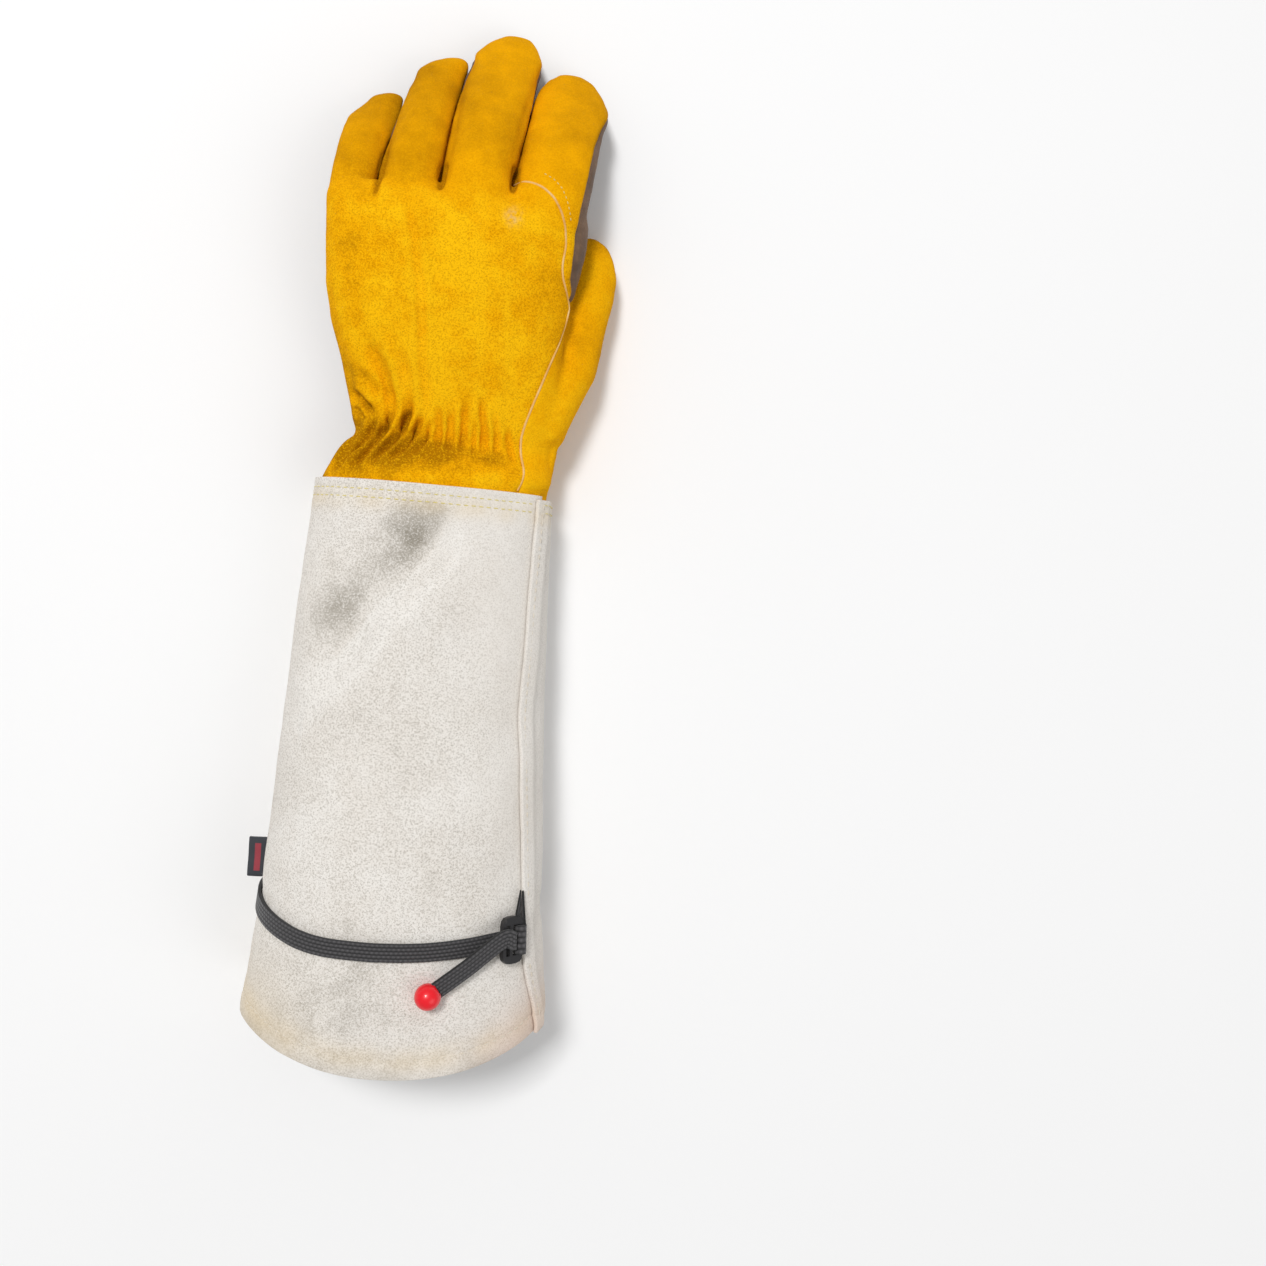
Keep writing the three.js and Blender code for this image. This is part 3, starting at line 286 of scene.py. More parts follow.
def paint(mesh: bpy.types.Mesh, tone: Points, even: Points, stained: Points, colour: Points) -> None:
    """Stores what the nap materials read at each vertex.

    Args:
        mesh: The mesh.
        tone: Above 0 where the leather is lighter, below where it is darker, from its own tone and from painted
            shade and highlight.
        even: 1 where the nap is worn smooth.
        stained: How much of the stain shows.
        colour: The stain's colour.
    """
    add_attribute(mesh, "smooth", even)
    add_attribute(mesh, "tone", tone)
    add_attribute(mesh, "stained", stained)
    layer = mesh.attributes.new("stain", "FLOAT_COLOR", "POINT")
    flat = np.column_stack([colour, np.ones(len(colour))]).astype(np.float32).ravel()
    layer.data.foreach_set("color", flat)


def surface_tree(mesh: bpy.types.Mesh, points: Points | None = None) -> BVHTree:
    """Search tree over a mesh's faces, with its vertices where they are or at the given places."""
    places = coordinates(mesh) if points is None else points
    return BVHTree.FromPolygons([Vector(p) for p in places.tolist()], [tuple(p.vertices) for p in mesh.polygons])


# Materials


class Shader:
    """One material, or one shader group, while its nodes are put in."""

    def __init__(self, tree: bpy.types.NodeTree) -> None:
        """Starts on an empty tree.

        Args:
            tree: The node tree to fill.
        """
        self.tree = tree
        self.tree.nodes.clear()

    def add(self, kind: str, inputs: dict[str | int, object] | None = None, **settings: object) -> bpy.types.Node:
        """Adds a node.

        Args:
            kind: The node's type.
            inputs: Values or sockets for its inputs.
            **settings: Attributes of the node.

        Returns:
            The node.
        """
        node = self.tree.nodes.new(kind)
        for name, value in settings.items():
            setattr(node, name, value)
        for key, value in (inputs or {}).items():
            if isinstance(value, bpy.types.NodeSocket):
                self.tree.links.new(value, node.inputs[key])
            else:
                node.inputs[key].default_value = value
        return node

    def maths(self, operation: str, a: object, b: object = 0.0) -> bpy.types.NodeSocket:
        """The result of a sum on two values or sockets."""
        return self.add("ShaderNodeMath", {0: a, 1: b}, operation=operation).outputs[0]

    def times(self, a: object, b: object) -> bpy.types.NodeSocket:
        """The product of two values or sockets."""
        return self.maths("MULTIPLY", a, b)

    def plus(self, a: object, b: object) -> bpy.types.NodeSocket:
        """The sum of two values or sockets."""
        return self.maths("ADD", a, b)

    def bump(self, height: object, strength: float, distance: float) -> bpy.types.NodeSocket:
        """The normal that a height gives."""
        inputs = {"Height": height, "Strength": strength, "Distance": distance}
        return self.add("ShaderNodeBump", inputs).outputs[0]

    def stored(self, name: str, output: str = "Fac") -> bpy.types.NodeSocket:
        """What the mesh stores under a name."""
        return self.add("ShaderNodeAttribute", attribute_name=name).outputs[output]

    def blend(self, share: object, a: object, b: object, mode: str = "MIX") -> bpy.types.NodeSocket:
        """Mixes two colours.

        Args:
            share: How much of b.
            a: First colour.
            b: Second colour.
            mode: How they mix.

        Returns:
            The mixed colour.
        """
        node = self.add("ShaderNodeMix", {0: share, 6: a, 7: b}, data_type="RGBA", blend_type=mode)
        return node.outputs[2]

    def ramp(self, value: object, low: float, high: float, start: float = 0, end: float = 1) -> bpy.types.NodeSocket:
        """Maps low..high to start..end, and holds it beyond.

        Args:
            value: What is mapped.
            low: Value that gives start.
            high: Value that gives end.
            start: First result.
            end: Last result.

        Returns:
            The mapped value.
        """
        inputs = {"Value": value, "From Min": low, "From Max": high, "To Min": start, "To Max": end}
        return self.add("ShaderNodeMapRange", inputs).outputs[0]

    def speckle(self, where: object, scale: float, detail: float, rough: float = 0.55) -> bpy.types.NodeSocket:
        """Noise at the given places.

        Args:
            where: Coordinates.
            scale: Lumps per metre.
            detail: Octaves.
            rough: Strength of the finer ones.

        Returns:
            Values of 0 to 1.
        """
        inputs = {"Vector": where, "Scale": scale, "Detail": detail, "Roughness": rough}
        return self.add("ShaderNodeTexNoise", inputs).outputs[0]

    def place(self) -> bpy.types.NodeSocket:
        """Object coordinates."""
        return self.add("ShaderNodeTexCoord").outputs["Object"]

    def surface(self, colour: object, rough: object, normal: object, **extra: float) -> None:
        """Ends a material with its shader.

        Args:
            colour: Base colour.
            rough: Roughness.
            normal: Normal.
            **extra: Constants for the shader's other sockets, with _ for a space.
        """
        shader = self.add("ShaderNodeBsdfPrincipled", {"Base Color": colour, "Roughness": rough, "Normal": normal})
        for name, value in extra.items():
            shader.inputs[name.replace("_", " ")].default_value = value
        self.add("ShaderNodeOutputMaterial", {"Surface": shader.outputs[0]})


def open_group(
    name: str, inputs: dict[str, tuple[str, object]], outputs: dict[str, str]
) -> tuple[Shader, bpy.types.Node]:
    """Starts a shader group.

    Args:
        name: Its name.
        inputs: Socket type and first value of each input.
        outputs: Socket type of each output.

    Returns:
        The group's shader builder and its input node.
    """
    tree = bpy.data.node_groups.new(name, "ShaderNodeTree")
    for label, (kind, value) in inputs.items():
        socket = tree.interface.new_socket(name=label, in_out="INPUT", socket_type=kind)
        if value is not None:
            socket.default_value = value
    for label, kind in outputs.items():
        tree.interface.new_socket(name=label, in_out="OUTPUT", socket_type=kind)
    shader = Shader(tree)
    return shader, shader.add("NodeGroupInput")


def new_material(name: str) -> tuple[bpy.types.Material, Shader]:
    """Starts a material, with its shader builder."""
    material = bpy.data.materials.new(name)
    material.use_nodes = True
    return material, Shader(material.node_tree)


FLOAT = "NodeSocketFloat"
COLOUR = "NodeSocketColor"
VECTOR = "NodeSocketVector"


@dataclass(frozen=True)
class NapGroup:
    """Group that gives split leather its nap: cloudy colour, brushed flecks and height."""

    name: str = "leather nap"

    def build(self) -> bpy.types.NodeTree:
        """Makes the group.

        Returns:
            The group's tree.
        """
        shader, given = open_group(
            self.name,
            {
                "Place": (VECTOR, None),
                "Light": (COLOUR, (1, 1, 1, 1)),
                "Middle": (COLOUR, (1, 1, 1, 1)),
                "Dark": (COLOUR, (1, 1, 1, 1)),
                "Tone and shade": (FLOAT, 0.0),
                "Smooth": (FLOAT, 0.0),
                "Fineness": (FLOAT, 1.0),
                "Fleck": (FLOAT, 0.5),
                "Cloud": (FLOAT, 0.5),
            },
            {"Color": COLOUR, "Height": FLOAT, "Fleck": FLOAT},
        )
        out = given.outputs
        scaled = shader.add("ShaderNodeVectorMath", {0: out["Place"], "Scale": out["Fineness"]}, operation="SCALE")
        fine = scaled.outputs[0]
        cloud = shader.speckle(out["Place"], 26, 4, 0.6)
        patch = shader.speckle(out["Place"], 95, 3, 0.6)
        brushed = shader.speckle(fine, 820, 3, 0.65)
        speck = shader.speckle(fine, 1900, 2, 0.7)
        mood = shader.plus(shader.times(cloud, 0.6), shader.times(patch, 0.4))
        cloudy = shader.times(out["Cloud"], shader.ramp(out["Smooth"], 0, 1, 1, 0.3))
        mood = shader.times(shader.ramp(mood, 0.38, 0.62, -0.5, 0.5), cloudy)
        # Adds the stored tone: random tone together with painted shade and painted highlight.
        mood = shader.plus(shader.plus(mood, 0.5), out["Tone and shade"])
        base = shader.blend(shader.ramp(mood, 0.35, 0.95), out["Middle"], out["Light"])
        base = shader.blend(shader.ramp(mood, 0.3, -0.5), base, out["Dark"])
        strength = shader.times(out["Fleck"], shader.ramp(out["Smooth"], 0, 1, 1, 0.3))
        fleck = shader.times(shader.ramp(brushed, 0.4, 0.62, -1, 1), strength)
        speckled = shader.times(shader.ramp(speck, 0.35, 0.65, -1, 1), strength)
        change = shader.plus(shader.times(fleck, 0.6), shader.times(speckled, 0.4))
        lit = shader.blend(shader.ramp(change, 0, 1), base, out["Light"])
        colour = shader.blend(shader.ramp(change, 0, -1, 0, 0.8), lit, out["Dark"])
        height = shader.plus(shader.times(brushed, 0.7), shader.times(speck, 0.3))
        shader.add("NodeGroupOutput", {"Color": colour, "Height": height, "Fleck": change})
        return shader.tree


@dataclass(frozen=True)
class WeaveGroup:
    """Group that gives webbing its ribs and threads, along the band's own UV map."""

    name: str = "woven band"

    def build(self) -> bpy.types.NodeTree:
        """Makes the group.

        Returns:
            The group's tree.
        """
        shader, given = open_group(
            self.name,
            {"Band": (VECTOR, None), "Ribs": (FLOAT, 5.0), "Picks": (FLOAT, 480.0)},
            {"Height": FLOAT, "Shade": FLOAT},
        )
        out = given.outputs
        split = shader.add("ShaderNodeSeparateXYZ", {0: out["Band"]})
        across = shader.times(split.outputs[1], out["Ribs"])
        length = shader.times(split.outputs[0], out["Picks"])
        rib = shader.maths("ABSOLUTE", shader.maths("SINE", shader.times(across, math.pi)))
        shift = shader.times(shader.maths("FLOOR", across), 0.5)
        pick = shader.maths("SINE", shader.times(shader.plus(length, shift), 2 * math.pi))
        thread = shader.plus(shader.times(pick, 0.5), 0.5)
        height = shader.times(rib, shader.plus(shader.times(thread, 0.5), 0.5))
        shader.add("NodeGroupOutput", {"Height": height, "Shade": height})
        return shader.tree


@dataclass(frozen=True)
class NapFinish:
    """Suede or split leather: three colours of the nap, its size and how it shows wear, tone and painted shade."""

    name: str
    light: Rgb
    middle: Rgb
    dark: Rgb
    fineness: float = 1.0
    fleck: float = 0.6
    cloud: float = 0.5
    bump: float = 0.35
    sheen: float = 0.1
    shine: float = 0.03

    def build(self, group: bpy.types.NodeTree) -> bpy.types.Material:
        """Makes the material.

        Args:
            group: The nap group.

        Returns:
            The material.
        """
        material, shader = new_material(self.name)
        stain, stained = shader.stored("stain", "Color"), shader.stored("stained")
        inputs = {
            "Place": shader.place(),
            "Light": (*self.light, 1),
            "Middle": (*self.middle, 1),
            "Dark": (*self.dark, 1),
            "Tone and shade": shader.stored("tone"),
            "Smooth": shader.stored("smooth"),
            "Fineness": self.fineness,
            "Fleck": self.fleck,
            "Cloud": self.cloud,
        }
        nap = shader.add("ShaderNodeGroup", inputs, node_tree=group)
        colour = shader.blend(stained, nap.outputs["Color"], stain)
        colour = shader.blend(shader.times(stained, 0.35), colour, nap.outputs["Color"])
        bump = shader.bump(nap.outputs["Height"], self.bump, 0.6 * MM)
        rough = shader.ramp(nap.outputs["Fleck"], -1, 1, 0.98, 0.86)
        shader.surface(
            colour,
            rough,
            bump,
            Sheen_Weight=self.sheen,
            Sheen_Roughness=0.6,
            Sheen_Tint=(*self.light, 1),
            Specular_IOR_Level=self.shine,
        )
        return material


@dataclass(frozen=True)
class GrainFinish:
    """Smooth grain leather with fine pores and creases."""

    name: str
    light: Rgb
    dark: Rgb

    def build(self) -> bpy.types.Material:
        """Makes the material."""
        material, shader = new_material(self.name)
        place = shader.place()
        cells = shader.add("ShaderNodeTexVoronoi", {"Vector": place, "Scale": 700}, feature="DISTANCE_TO_EDGE")
        crease = shader.ramp(cells.outputs[0], 0.0, 0.25)
        cloud = shader.speckle(place, 60, 5, 0.6)
        shade = shader.times(shader.ramp(cloud, 0.35, 0.65), shader.ramp(crease, 0, 1, 0.75, 1))
        colour = shader.blend(shade, (*self.dark, 1), (*self.light, 1))
        bump = shader.bump(crease, 0.3, 0.25 * MM)
        shader.surface(colour, shader.ramp(cloud, 0.3, 0.7, 0.55, 0.75), bump, Specular_IOR_Level=0.3)
        return material


@dataclass(frozen=True)
class WebbingFinish:
    """Black ribbed webbing, with painted highlight on its ribs' crests."""

    name: str
    light: Rgb
    dark: Rgb
    ribs: float = 5.0

    def build(self, group: bpy.types.NodeTree) -> bpy.types.Material:
        """Makes the material.

        Args:
            group: The weave group.

        Returns:
            The material.
        """
        material, shader = new_material(self.name)
        band = shader.add("ShaderNodeUVMap", uv_map="band").outputs[0]
        weave = shader.add("ShaderNodeGroup", {"Band": band, "Ribs": self.ribs}, node_tree=group)
        fuzz = shader.speckle(shader.place(), 2400, 3, 0.6)
        shade = shader.times(weave.outputs["Shade"], shader.ramp(fuzz, 0.3, 0.7, 0.5, 1.2))
        # Painted highlight: the ribs' crests take the lighter colour and their valleys the black.
        colour = shader.blend(shade, (*self.dark, 1), (*self.light, 1))
        bump = shader.bump(weave.outputs["Height"], 1.0, 0.5 * MM)
        shader.surface(colour, shader.ramp(fuzz, 0.3, 0.7, 0.7, 0.9), bump, Sheen_Weight=0.15)
        return material


@dataclass(frozen=True)
class MouldedFinish:
    """Moulded plastic with faint handling marks."""

    name: str
    colour: Rgb
    worn: Rgb
    rough: float
    coat: float = 0.0

    def build(self) -> bpy.types.Material:
        """Makes the material."""
        material, shader = new_material(self.name)
        place = shader.place()
        marks = shader.speckle(place, 320, 6, 0.7)
        skin = shader.speckle(place, 2600, 2, 0.5)
        colour = shader.blend(shader.ramp(marks, 0.55, 0.75, 0, 0.6), (*self.colour, 1), (*self.worn, 1))
        bump = shader.bump(skin, 0.12, 0.1 * MM)
        rough = shader.ramp(marks, 0.3, 0.75, self.rough, min(self.rough + 0.2, 1))
        shader.surface(colour, rough, bump, Coat_Weight=self.coat, Coat_Roughness=0.08)
        return material


@dataclass(frozen=True)
class ThreadFinish:
    """Sewing thread with its twist."""

    name: str
    light: Rgb
    dark: Rgb

    def build(self) -> bpy.types.Material:
        """Makes the material."""
        material, shader = new_material(self.name)
        twist = shader.speckle(shader.place(), 3200, 3, 0.6)
        colour = shader.blend(shader.ramp(twist, 0.35, 0.65), (*self.dark, 1), (*self.light, 1))
        shader.surface(colour, 0.8, shader.bump(twist, 0.5, 0.15 * MM), Sheen_Weight=0.2)
        return material


@dataclass(frozen=True)
class LabelFinish:
    """Woven tape with a plain red stripe along its middle."""

    name: str
    tape: Rgb
    stripe: Rgb
    middle: tuple[float, float, float]
    half_width: float
    half_length: float

    def build(self) -> bpy.types.Material:
        """Makes the material."""
        material, shader = new_material(self.name)
        place = shader.place()
        apart = shader.add("ShaderNodeVectorMath", {0: place, 1: self.middle}, operation="SUBTRACT").outputs[0]
        axes = shader.add("ShaderNodeSeparateXYZ", {0: apart})
        near_x = shader.ramp(shader.maths("ABSOLUTE", axes.outputs[0]), self.half_width, self.half_width * 0.8)
        near_y = shader.ramp(shader.maths("ABSOLUTE", axes.outputs[1]), self.half_length, self.half_length * 0.96)
        threads = shader.maths("SINE", shader.times(axes.outputs[1], 2 * math.pi / (0.45 * MM)))
        weft = shader.maths("SINE", shader.times(axes.outputs[0], 2 * math.pi / (0.3 * MM)))
        relief = shader.times(threads, weft)
        stripe = shader.times(shader.times(near_x, near_y), shader.ramp(relief, -1, 1, 0.45, 0.85))
        colour = shader.blend(stripe, (*self.tape, 1), (*self.stripe, 1))
        bump = shader.bump(relief, 0.4, 0.12 * MM)
        shader.surface(colour, shader.ramp(relief, -1, 1, 0.7, 0.85), bump, Sheen_Weight=0.1)
        return material


@dataclass(frozen=True)
class Wardrobe:
    """Every material of the glove, made once."""

    suede: bpy.types.Material
    palm: bpy.types.Material
    welt: bpy.types.Material
    cuff: bpy.types.Material
    webbing: bpy.types.Material
    plastic: bpy.types.Material
    ball: bpy.types.Material
    gold_thread: bpy.types.Material
    cream_thread: bpy.types.Material


def fill_wardrobe() -> Wardrobe:
    """Builds the shared groups and the materials.

    Returns:
        The materials.
    """
    nap = NapGroup().build()
    weave = WeaveGroup().build()
    return Wardrobe(
        suede=NapFinish(
            "golden suede",
            light=from_srgb(255, 194, 14),
            middle=from_srgb(240, 168, 3),
            dark=from_srgb(172, 114, 3),
            fineness=1.5,
            fleck=0.85,
            cloud=1.1,
            bump=0.8,
        ).build(nap),
        palm=GrainFinish("brown palm leather", from_srgb(134, 106, 84), from_srgb(92, 70, 54)).build(),
        welt=NapFinish(
            "tan welt leather",
            light=from_srgb(240, 204, 140),
            middle=from_srgb(228, 178, 104),
            dark=from_srgb(196, 138, 66),
            fineness=1.6,
            fleck=0.4,
        ).build(nap),
        cuff=NapFinish(
            "cream split leather",
            light=from_srgb(242, 238, 232),
            middle=from_srgb(232, 226, 218),
            dark=from_srgb(160, 153, 141),
            fineness=1.5,
            fleck=0.95,
            cloud=0.6,
            bump=0.9,
            sheen=0.15,
        ).build(nap),
        webbing=WebbingFinish("black webbing", from_srgb(92, 90, 92), from_srgb(10, 10, 11)).build(weave),
        plastic=MouldedFinish("black moulding", from_srgb(34, 33, 35), from_srgb(84, 80, 78), 0.42).build(),
        ball=MouldedFinish("red moulding", from_srgb(238, 0, 26), from_srgb(214, 0, 20), 0.28, 0.3).build(),
        gold_thread=ThreadFinish("gold thread", from_srgb(236, 222, 140), from_srgb(206, 188, 104)).build(),
        cream_thread=ThreadFinish("cream thread", from_srgb(240, 232, 216), from_srgb(205, 194, 176)).build(),
    )


# The cuff's form, from the same sizes as its solids


@dataclass(frozen=True)
class CuffForm:
    """The surface that the cuff's leather, its seams and its strap all follow."""

    length: float = 247 * MM
    top_width: float = 112 * MM
    hem_width: float = 143 * MM
    top_height: float = 54 * MM
    hem_height: float = 86 * MM
    middle: float = 0.42
    shape: float = 2.3
    hem_bow: float = 16 * MM
    hem_bow_power: float = 2.5
    strap_width: float = 8 * MM
    strap_stack: float = 2.45 * MM
    cinch: float = 0.8 * MM
    ease: float = 7 * MM
    soften: float = 9 * MM
    # Share of the length; then width, height and offset as the solids have them.
    rows: tuple[tuple[float, float, float, float], ...] = (
        *((0, 0, 0, 0.012), (0.08, 0.07, 0.1, 0.009), (0.17, 0.13, 0.22, 0.005), (0.27, 0.2, 0.36, 0)),
        *((0.38, 0.28, 0.5, -0.003), (0.5, 0.36, 0.64, -0.003), (0.62, 0.46, 0.78, -0.002)),
        *((0.77, 0.6, 0.9, -0.001), (0.9, 0.78, 0.97, 0), (1, 1, 1, 0)),
    )
    # Angle in turns, and share of the length.
    strap_route: Line = (
        *((0, 0.785), (0.1, 0.82), (0.14, 0.82), (0.19, 0.829), (0.25, 0.838), (0.34, 0.834)),
        *((0.39, 0.818), (0.43, 0.804), (0.5, 0.785), (1, 0.785)),
    )
    # Share of the length, and angle in turns.
    lap_route: Line = (
        *((0, 0.102), (0.2, 0.115), (0.4, 0.119), (0.55, 0.116), (0.75, 0.106), (0.88, 0.106)),
        *((0.95, 0.088), (1, 0.081)),
    )
    # The long crease's bottom in plan millimetres, and its depth in millimetres along it.
    crease_line: Line = (
        *((6.0, -9.0), (2.3, -28.8), (-10.0, -44.3), (-22.3, -57.0), (-34.8, -77.5), (-51.0, -99.0)),
    )
    crease_depths: Line = (
        *((0, 0.6), (0.14, 5.6), (0.24, 8.0), (0.4, 5.4), (0.52, 4.2), (0.7, 7.0), (0.85, 5.4), (1, 1.6)),
    )
    # Start and end of each dent as shares of the half width and of the length, then half
    # breadth and depth in millimetres.
    dents: tuple[tuple[float, float, float, float, float, float], ...] = (
        (0.3, 0.3, 0.72, 0.42, 17, 1.8),
        (0.1, 0.56, 0.62, 0.7, 14, 1.4),
        (-0.5, 0.5, -0.85, 0.62, 16, 1.6),
    )

    def column(self, y: Points, number: int) -> Points:
        """Reads a column of the rows, rounded off between them.

        Args:
            y: Plan y, in metres.
            number: Which column.

        Returns:
            Its value at each place.
        """
        table = np.array(self.rows)
        reads = [
            np.interp(np.clip(-(y + step * self.soften) / self.length, 0, 1), table[:, 0], table[:, number])
            for step in (-1, -0.5, 0, 0.5, 1)
        ]
        return np.mean(reads, axis=0)

    def route(self, table: Sequence[tuple[float, float]], place: Points) -> Points:
        """Reads a two-column table."""
        pairs = np.array(table)
        return np.interp(place, pairs[:, 0], pairs[:, 1])

    def strap_y(self, angle: Points) -> Points:
        """Plan y of the strap's middle at an angle in radians."""
        turn = np.mod(np.asarray(angle, float) / (2 * math.pi), 1)
        steps = (-0.02, 0, 0.02)
        read = np.mean([self.route(self.strap_route, np.mod(turn + step, 1)) for step in steps], axis=0)
        return -self.length * read

    def lap_angle(self, y: Points) -> Points:
        """Angle of the thumb side's seam at a plan y."""
        share = np.clip(-np.asarray(y, float) / self.length, 0, 1)
        steps = (-0.03, 0, 0.03)
        return 2 * math.pi * np.mean([self.route(self.lap_route, np.clip(share + s, 0, 1)) for s in steps], axis=0)

    def half_width(self, y: Points) -> Points:
        """Half the width at a plan y."""
        return (self.top_width + (self.hem_width - self.top_width) * self.column(y, 1)) / 2

    def height(self, y: Points) -> Points:
        """Height at a plan y."""
        return self.top_height + (self.hem_height - self.top_height) * self.column(y, 2)

    def radius(self, y: Points) -> Points:
        """Rough radius of the section at a plan y, which turns lengths round it into angles."""
        return self.height(y) * 0.55

    def hem_y(self, angle: Points) -> Points:
        """Plan y of the hem at an angle."""
        return -self.length - self.hem_bow * np.abs(np.sin(angle)) ** self.hem_bow_power

    def crease(self, x: Points, y: Points) -> Points:
        """Depth of the long diagonal crease: a slow slope into it and a quick one out.

        Args:
            x: Plan x, in metres.
            y: Plan y, in metres.

        Returns:
            How deep it presses the back in, in metres.
        """
        away, share = stroke_distance(x, y, self.crease_line)
        nearest = np.array(self.crease_line) * MM
        line_x = np.interp(y, nearest[::-1, 1], nearest[::-1, 0])
        slow = bell(away, 15.5 * MM)
        quick = bell(away, 8 * MM)
        deep = np.interp(share, *zip(*self.crease_depths)) * MM
        return deep * np.where(x < line_x, slow, quick)

    def dent(self, x: Points, y: Points, half: Points) -> Points:
        """How deep the dents press the back in, in metres."""
        total = self.crease(x, y)
        for x0, y0, x1, y1, broad, deep in self.dents:
            ax, ay = x0 * half, -y0 * self.length
            bx, by = x1 * half, -y1 * self.length
            run_x, run_y = bx - ax, by - ay
            share = np.clip(((x - ax) * run_x + (y - ay) * run_y) / (run_x**2 + run_y**2), 0, 1)
            away = np.hypot(x - ax - share * run_x, y - ay - share * run_y) / (broad * MM)
            total += deep * MM * np.exp(-(away**2))
        return total

    def pinch(self, angle: Points, y: Points) -> Points:
        """How fully the strap presses the leather in at a place, 0 to 1."""
        off = np.abs(y - self.strap_y(angle)) - self.strap_width / 2
        return bell(np.clip(off, 0, None), self.ease * 0.6)

    def point(self, angle: Points, y: Points, inset: Points | float = 0.0) -> Points:
        """Places on the surface, in the row frame.

        Args:
            angle: Angle round the section, from the thumb's side over the back.
            y: Plan y, in metres.
            inset: How far inside the surface.

        Returns:
            One row of x, y and z for each place.
        """
        angle, y = np.broadcast_arrays(np.asarray(angle, float), np.asarray(y, float))
        pinch = self.pinch(angle, y)
        half = self.half_width(y)
        tall = self.height(y)
        wide = half - inset - self.cinch * pinch
        up = (1 - self.middle) * tall - inset - self.cinch * pinch
        down = self.middle * tall * 1.16 - inset
        power = 2 / self.shape
        across = np.sign(np.cos(angle)) * np.abs(np.cos(angle)) ** power
        upright = np.sign(np.sin(angle)) * np.abs(np.sin(angle)) ** power
        x = wide * across
        z = self.middle * tall + np.where(upright > 0, up, down) * upright
        depth = np.where(upright > 0, self.dent(x, y, half), 0) * smooth_step(0, 0.35, upright)
        out_x, out_z = across, np.clip(upright, 0, None)
        size = np.hypot(out_x, out_z) + 1e-9
        x = x - depth * out_x / size + self.top_width * self.column(y, 3)
        z = z - depth * out_z / size
        floor = inset + pinch * self.strap_stack
        z = np.where(z < floor + 2 * MM, floor + np.clip(z - floor + 2 * MM, 0, None) ** 2 / (8 * MM), z)
        return np.stack([x + PLAN_X, y + PLAN_Y, z], axis=-1)

    def normal(self, angle: Points, y: Points) -> Points:
        """Outward directions of the surface."""
        step = 0.02
        round_it = self.point(angle + step, y) - self.point(angle - step, y)
        along = self.point(angle, y + 0.5 * MM) - self.point(angle, y - 0.5 * MM)
        out = np.cross(along, round_it)
        return out / np.linalg.norm(out, axis=-1, keepdims=True)


def grid_patch(
    columns: int,
    rows: int,
    place: Callable[[Points, Points], Points],
    name: str,
    uv_size: tuple[float, float] | None = None,
) -> bpy.types.Mesh:
    """A grid whose corners are moved to where a function puts them.

    Args:
        columns: Faces along the first direction.
        rows: Faces along the second.
        place: Gives the places for shares of 0 to 1 along both.
        name: Name of the mesh.
        uv_size: Size of the UV map named band, or None for no map.

    Returns:
        The mesh.
    """
    bm = bmesh.new()
    layer = bm.loops.layers.uv.new("band") if uv_size else None
    bmesh.ops.create_grid(bm, x_segments=columns, y_segments=rows, size=1)
    bm.verts.ensure_lookup_table()
    shares = np.array([v.co[:2] for v in bm.verts]) * 0.5 + 0.5
    if layer:
        for face in bm.faces:
            for loop in face.loops:
                u, v = shares[loop.vert.index]
                loop[layer].uv = (u * uv_size[0], v * uv_size[1])
    places = place(shares[:, 0], shares[:, 1])
    for vert, co in zip(bm.verts, places.tolist()):
        vert.co = co
    return mesh_from(bm, name)


def face_outwards(mesh: bpy.types.Mesh, inside: Vector) -> None:
    """Turns an open sheet's faces away from a place inside it."""
    if sum(p.normal.dot(p.center - inside) * p.area for p in mesh.polygons) <= 0:
        mesh.flip_normals()


def round_edges(bm: bmesh.types.BMesh, edges: list[bmesh.types.BMEdge], width: float, segments: int) -> None:
    """Rounds some edges of a bmesh."""
    bmesh.ops.bevel(
        bm,
        geom=edges,
        offset=width,
        offset_type="OFFSET",
        segments=segments,
        profile=0.5,
        affect="EDGES",
        material=-1,
        clamp_overlap=True,
    )


@dataclass
class Stitching:
    """A line of short thread stitches laid on a surface."""

    name: str
    length: float = 3.0 * MM
    gap: float = 1.0 * MM
    thick: float = 0.75 * MM
    sunk: float = 0.1 * MM
    transforms: list[Matrix] = field(default_factory=list)

    def lay(self, line: Points, normals: Points) -> None:
        """Adds stitches along a dense line.

        Args:
            line: Points of the line.
            normals: Outward direction at each.
        """
        walked = walk(line)
        count = int(walked[-1] / (self.length + self.gap))
        for k in range(count):
            start = k * (self.length + self.gap)
            ends = [np.array([np.interp(start + s, walked, line[:, a]) for a in range(3)]) for s in (0, self.length)]
            up = np.array([np.interp(start + self.length / 2, walked, normals[:, a]) for a in range(3)])
            run = Vector(ends[1] - ends[0]).normalized()
            out = Vector(up).normalized()
            side = out.cross(run).normalized()
            out = run.cross(side).normalized()
            middle = Vector((ends[0] + ends[1]) / 2) + out * (self.thick / 2 - self.sunk)
            turn = Matrix((run, side, out)).transposed().to_4x4()
            scale = Matrix.Diagonal((self.length / 2, self.thick / 2, self.thick / 2, 1))
            self.transforms.append(Matrix.Translation(middle) @ turn @ scale)

    def build(self) -> bpy.types.Object:
        """Makes one mesh of all the stitches.

        Returns:
            The piece.
        """
        bm = bmesh.new()
        lying = Matrix.Rotation(math.pi / 2, 4, "Y")
        for place in self.transforms:
            bmesh.ops.create_uvsphere(bm, u_segments=6, v_segments=5, radius=1, matrix=place @ lying)
        return new_object(self.name, mesh_from(bm, self.name))


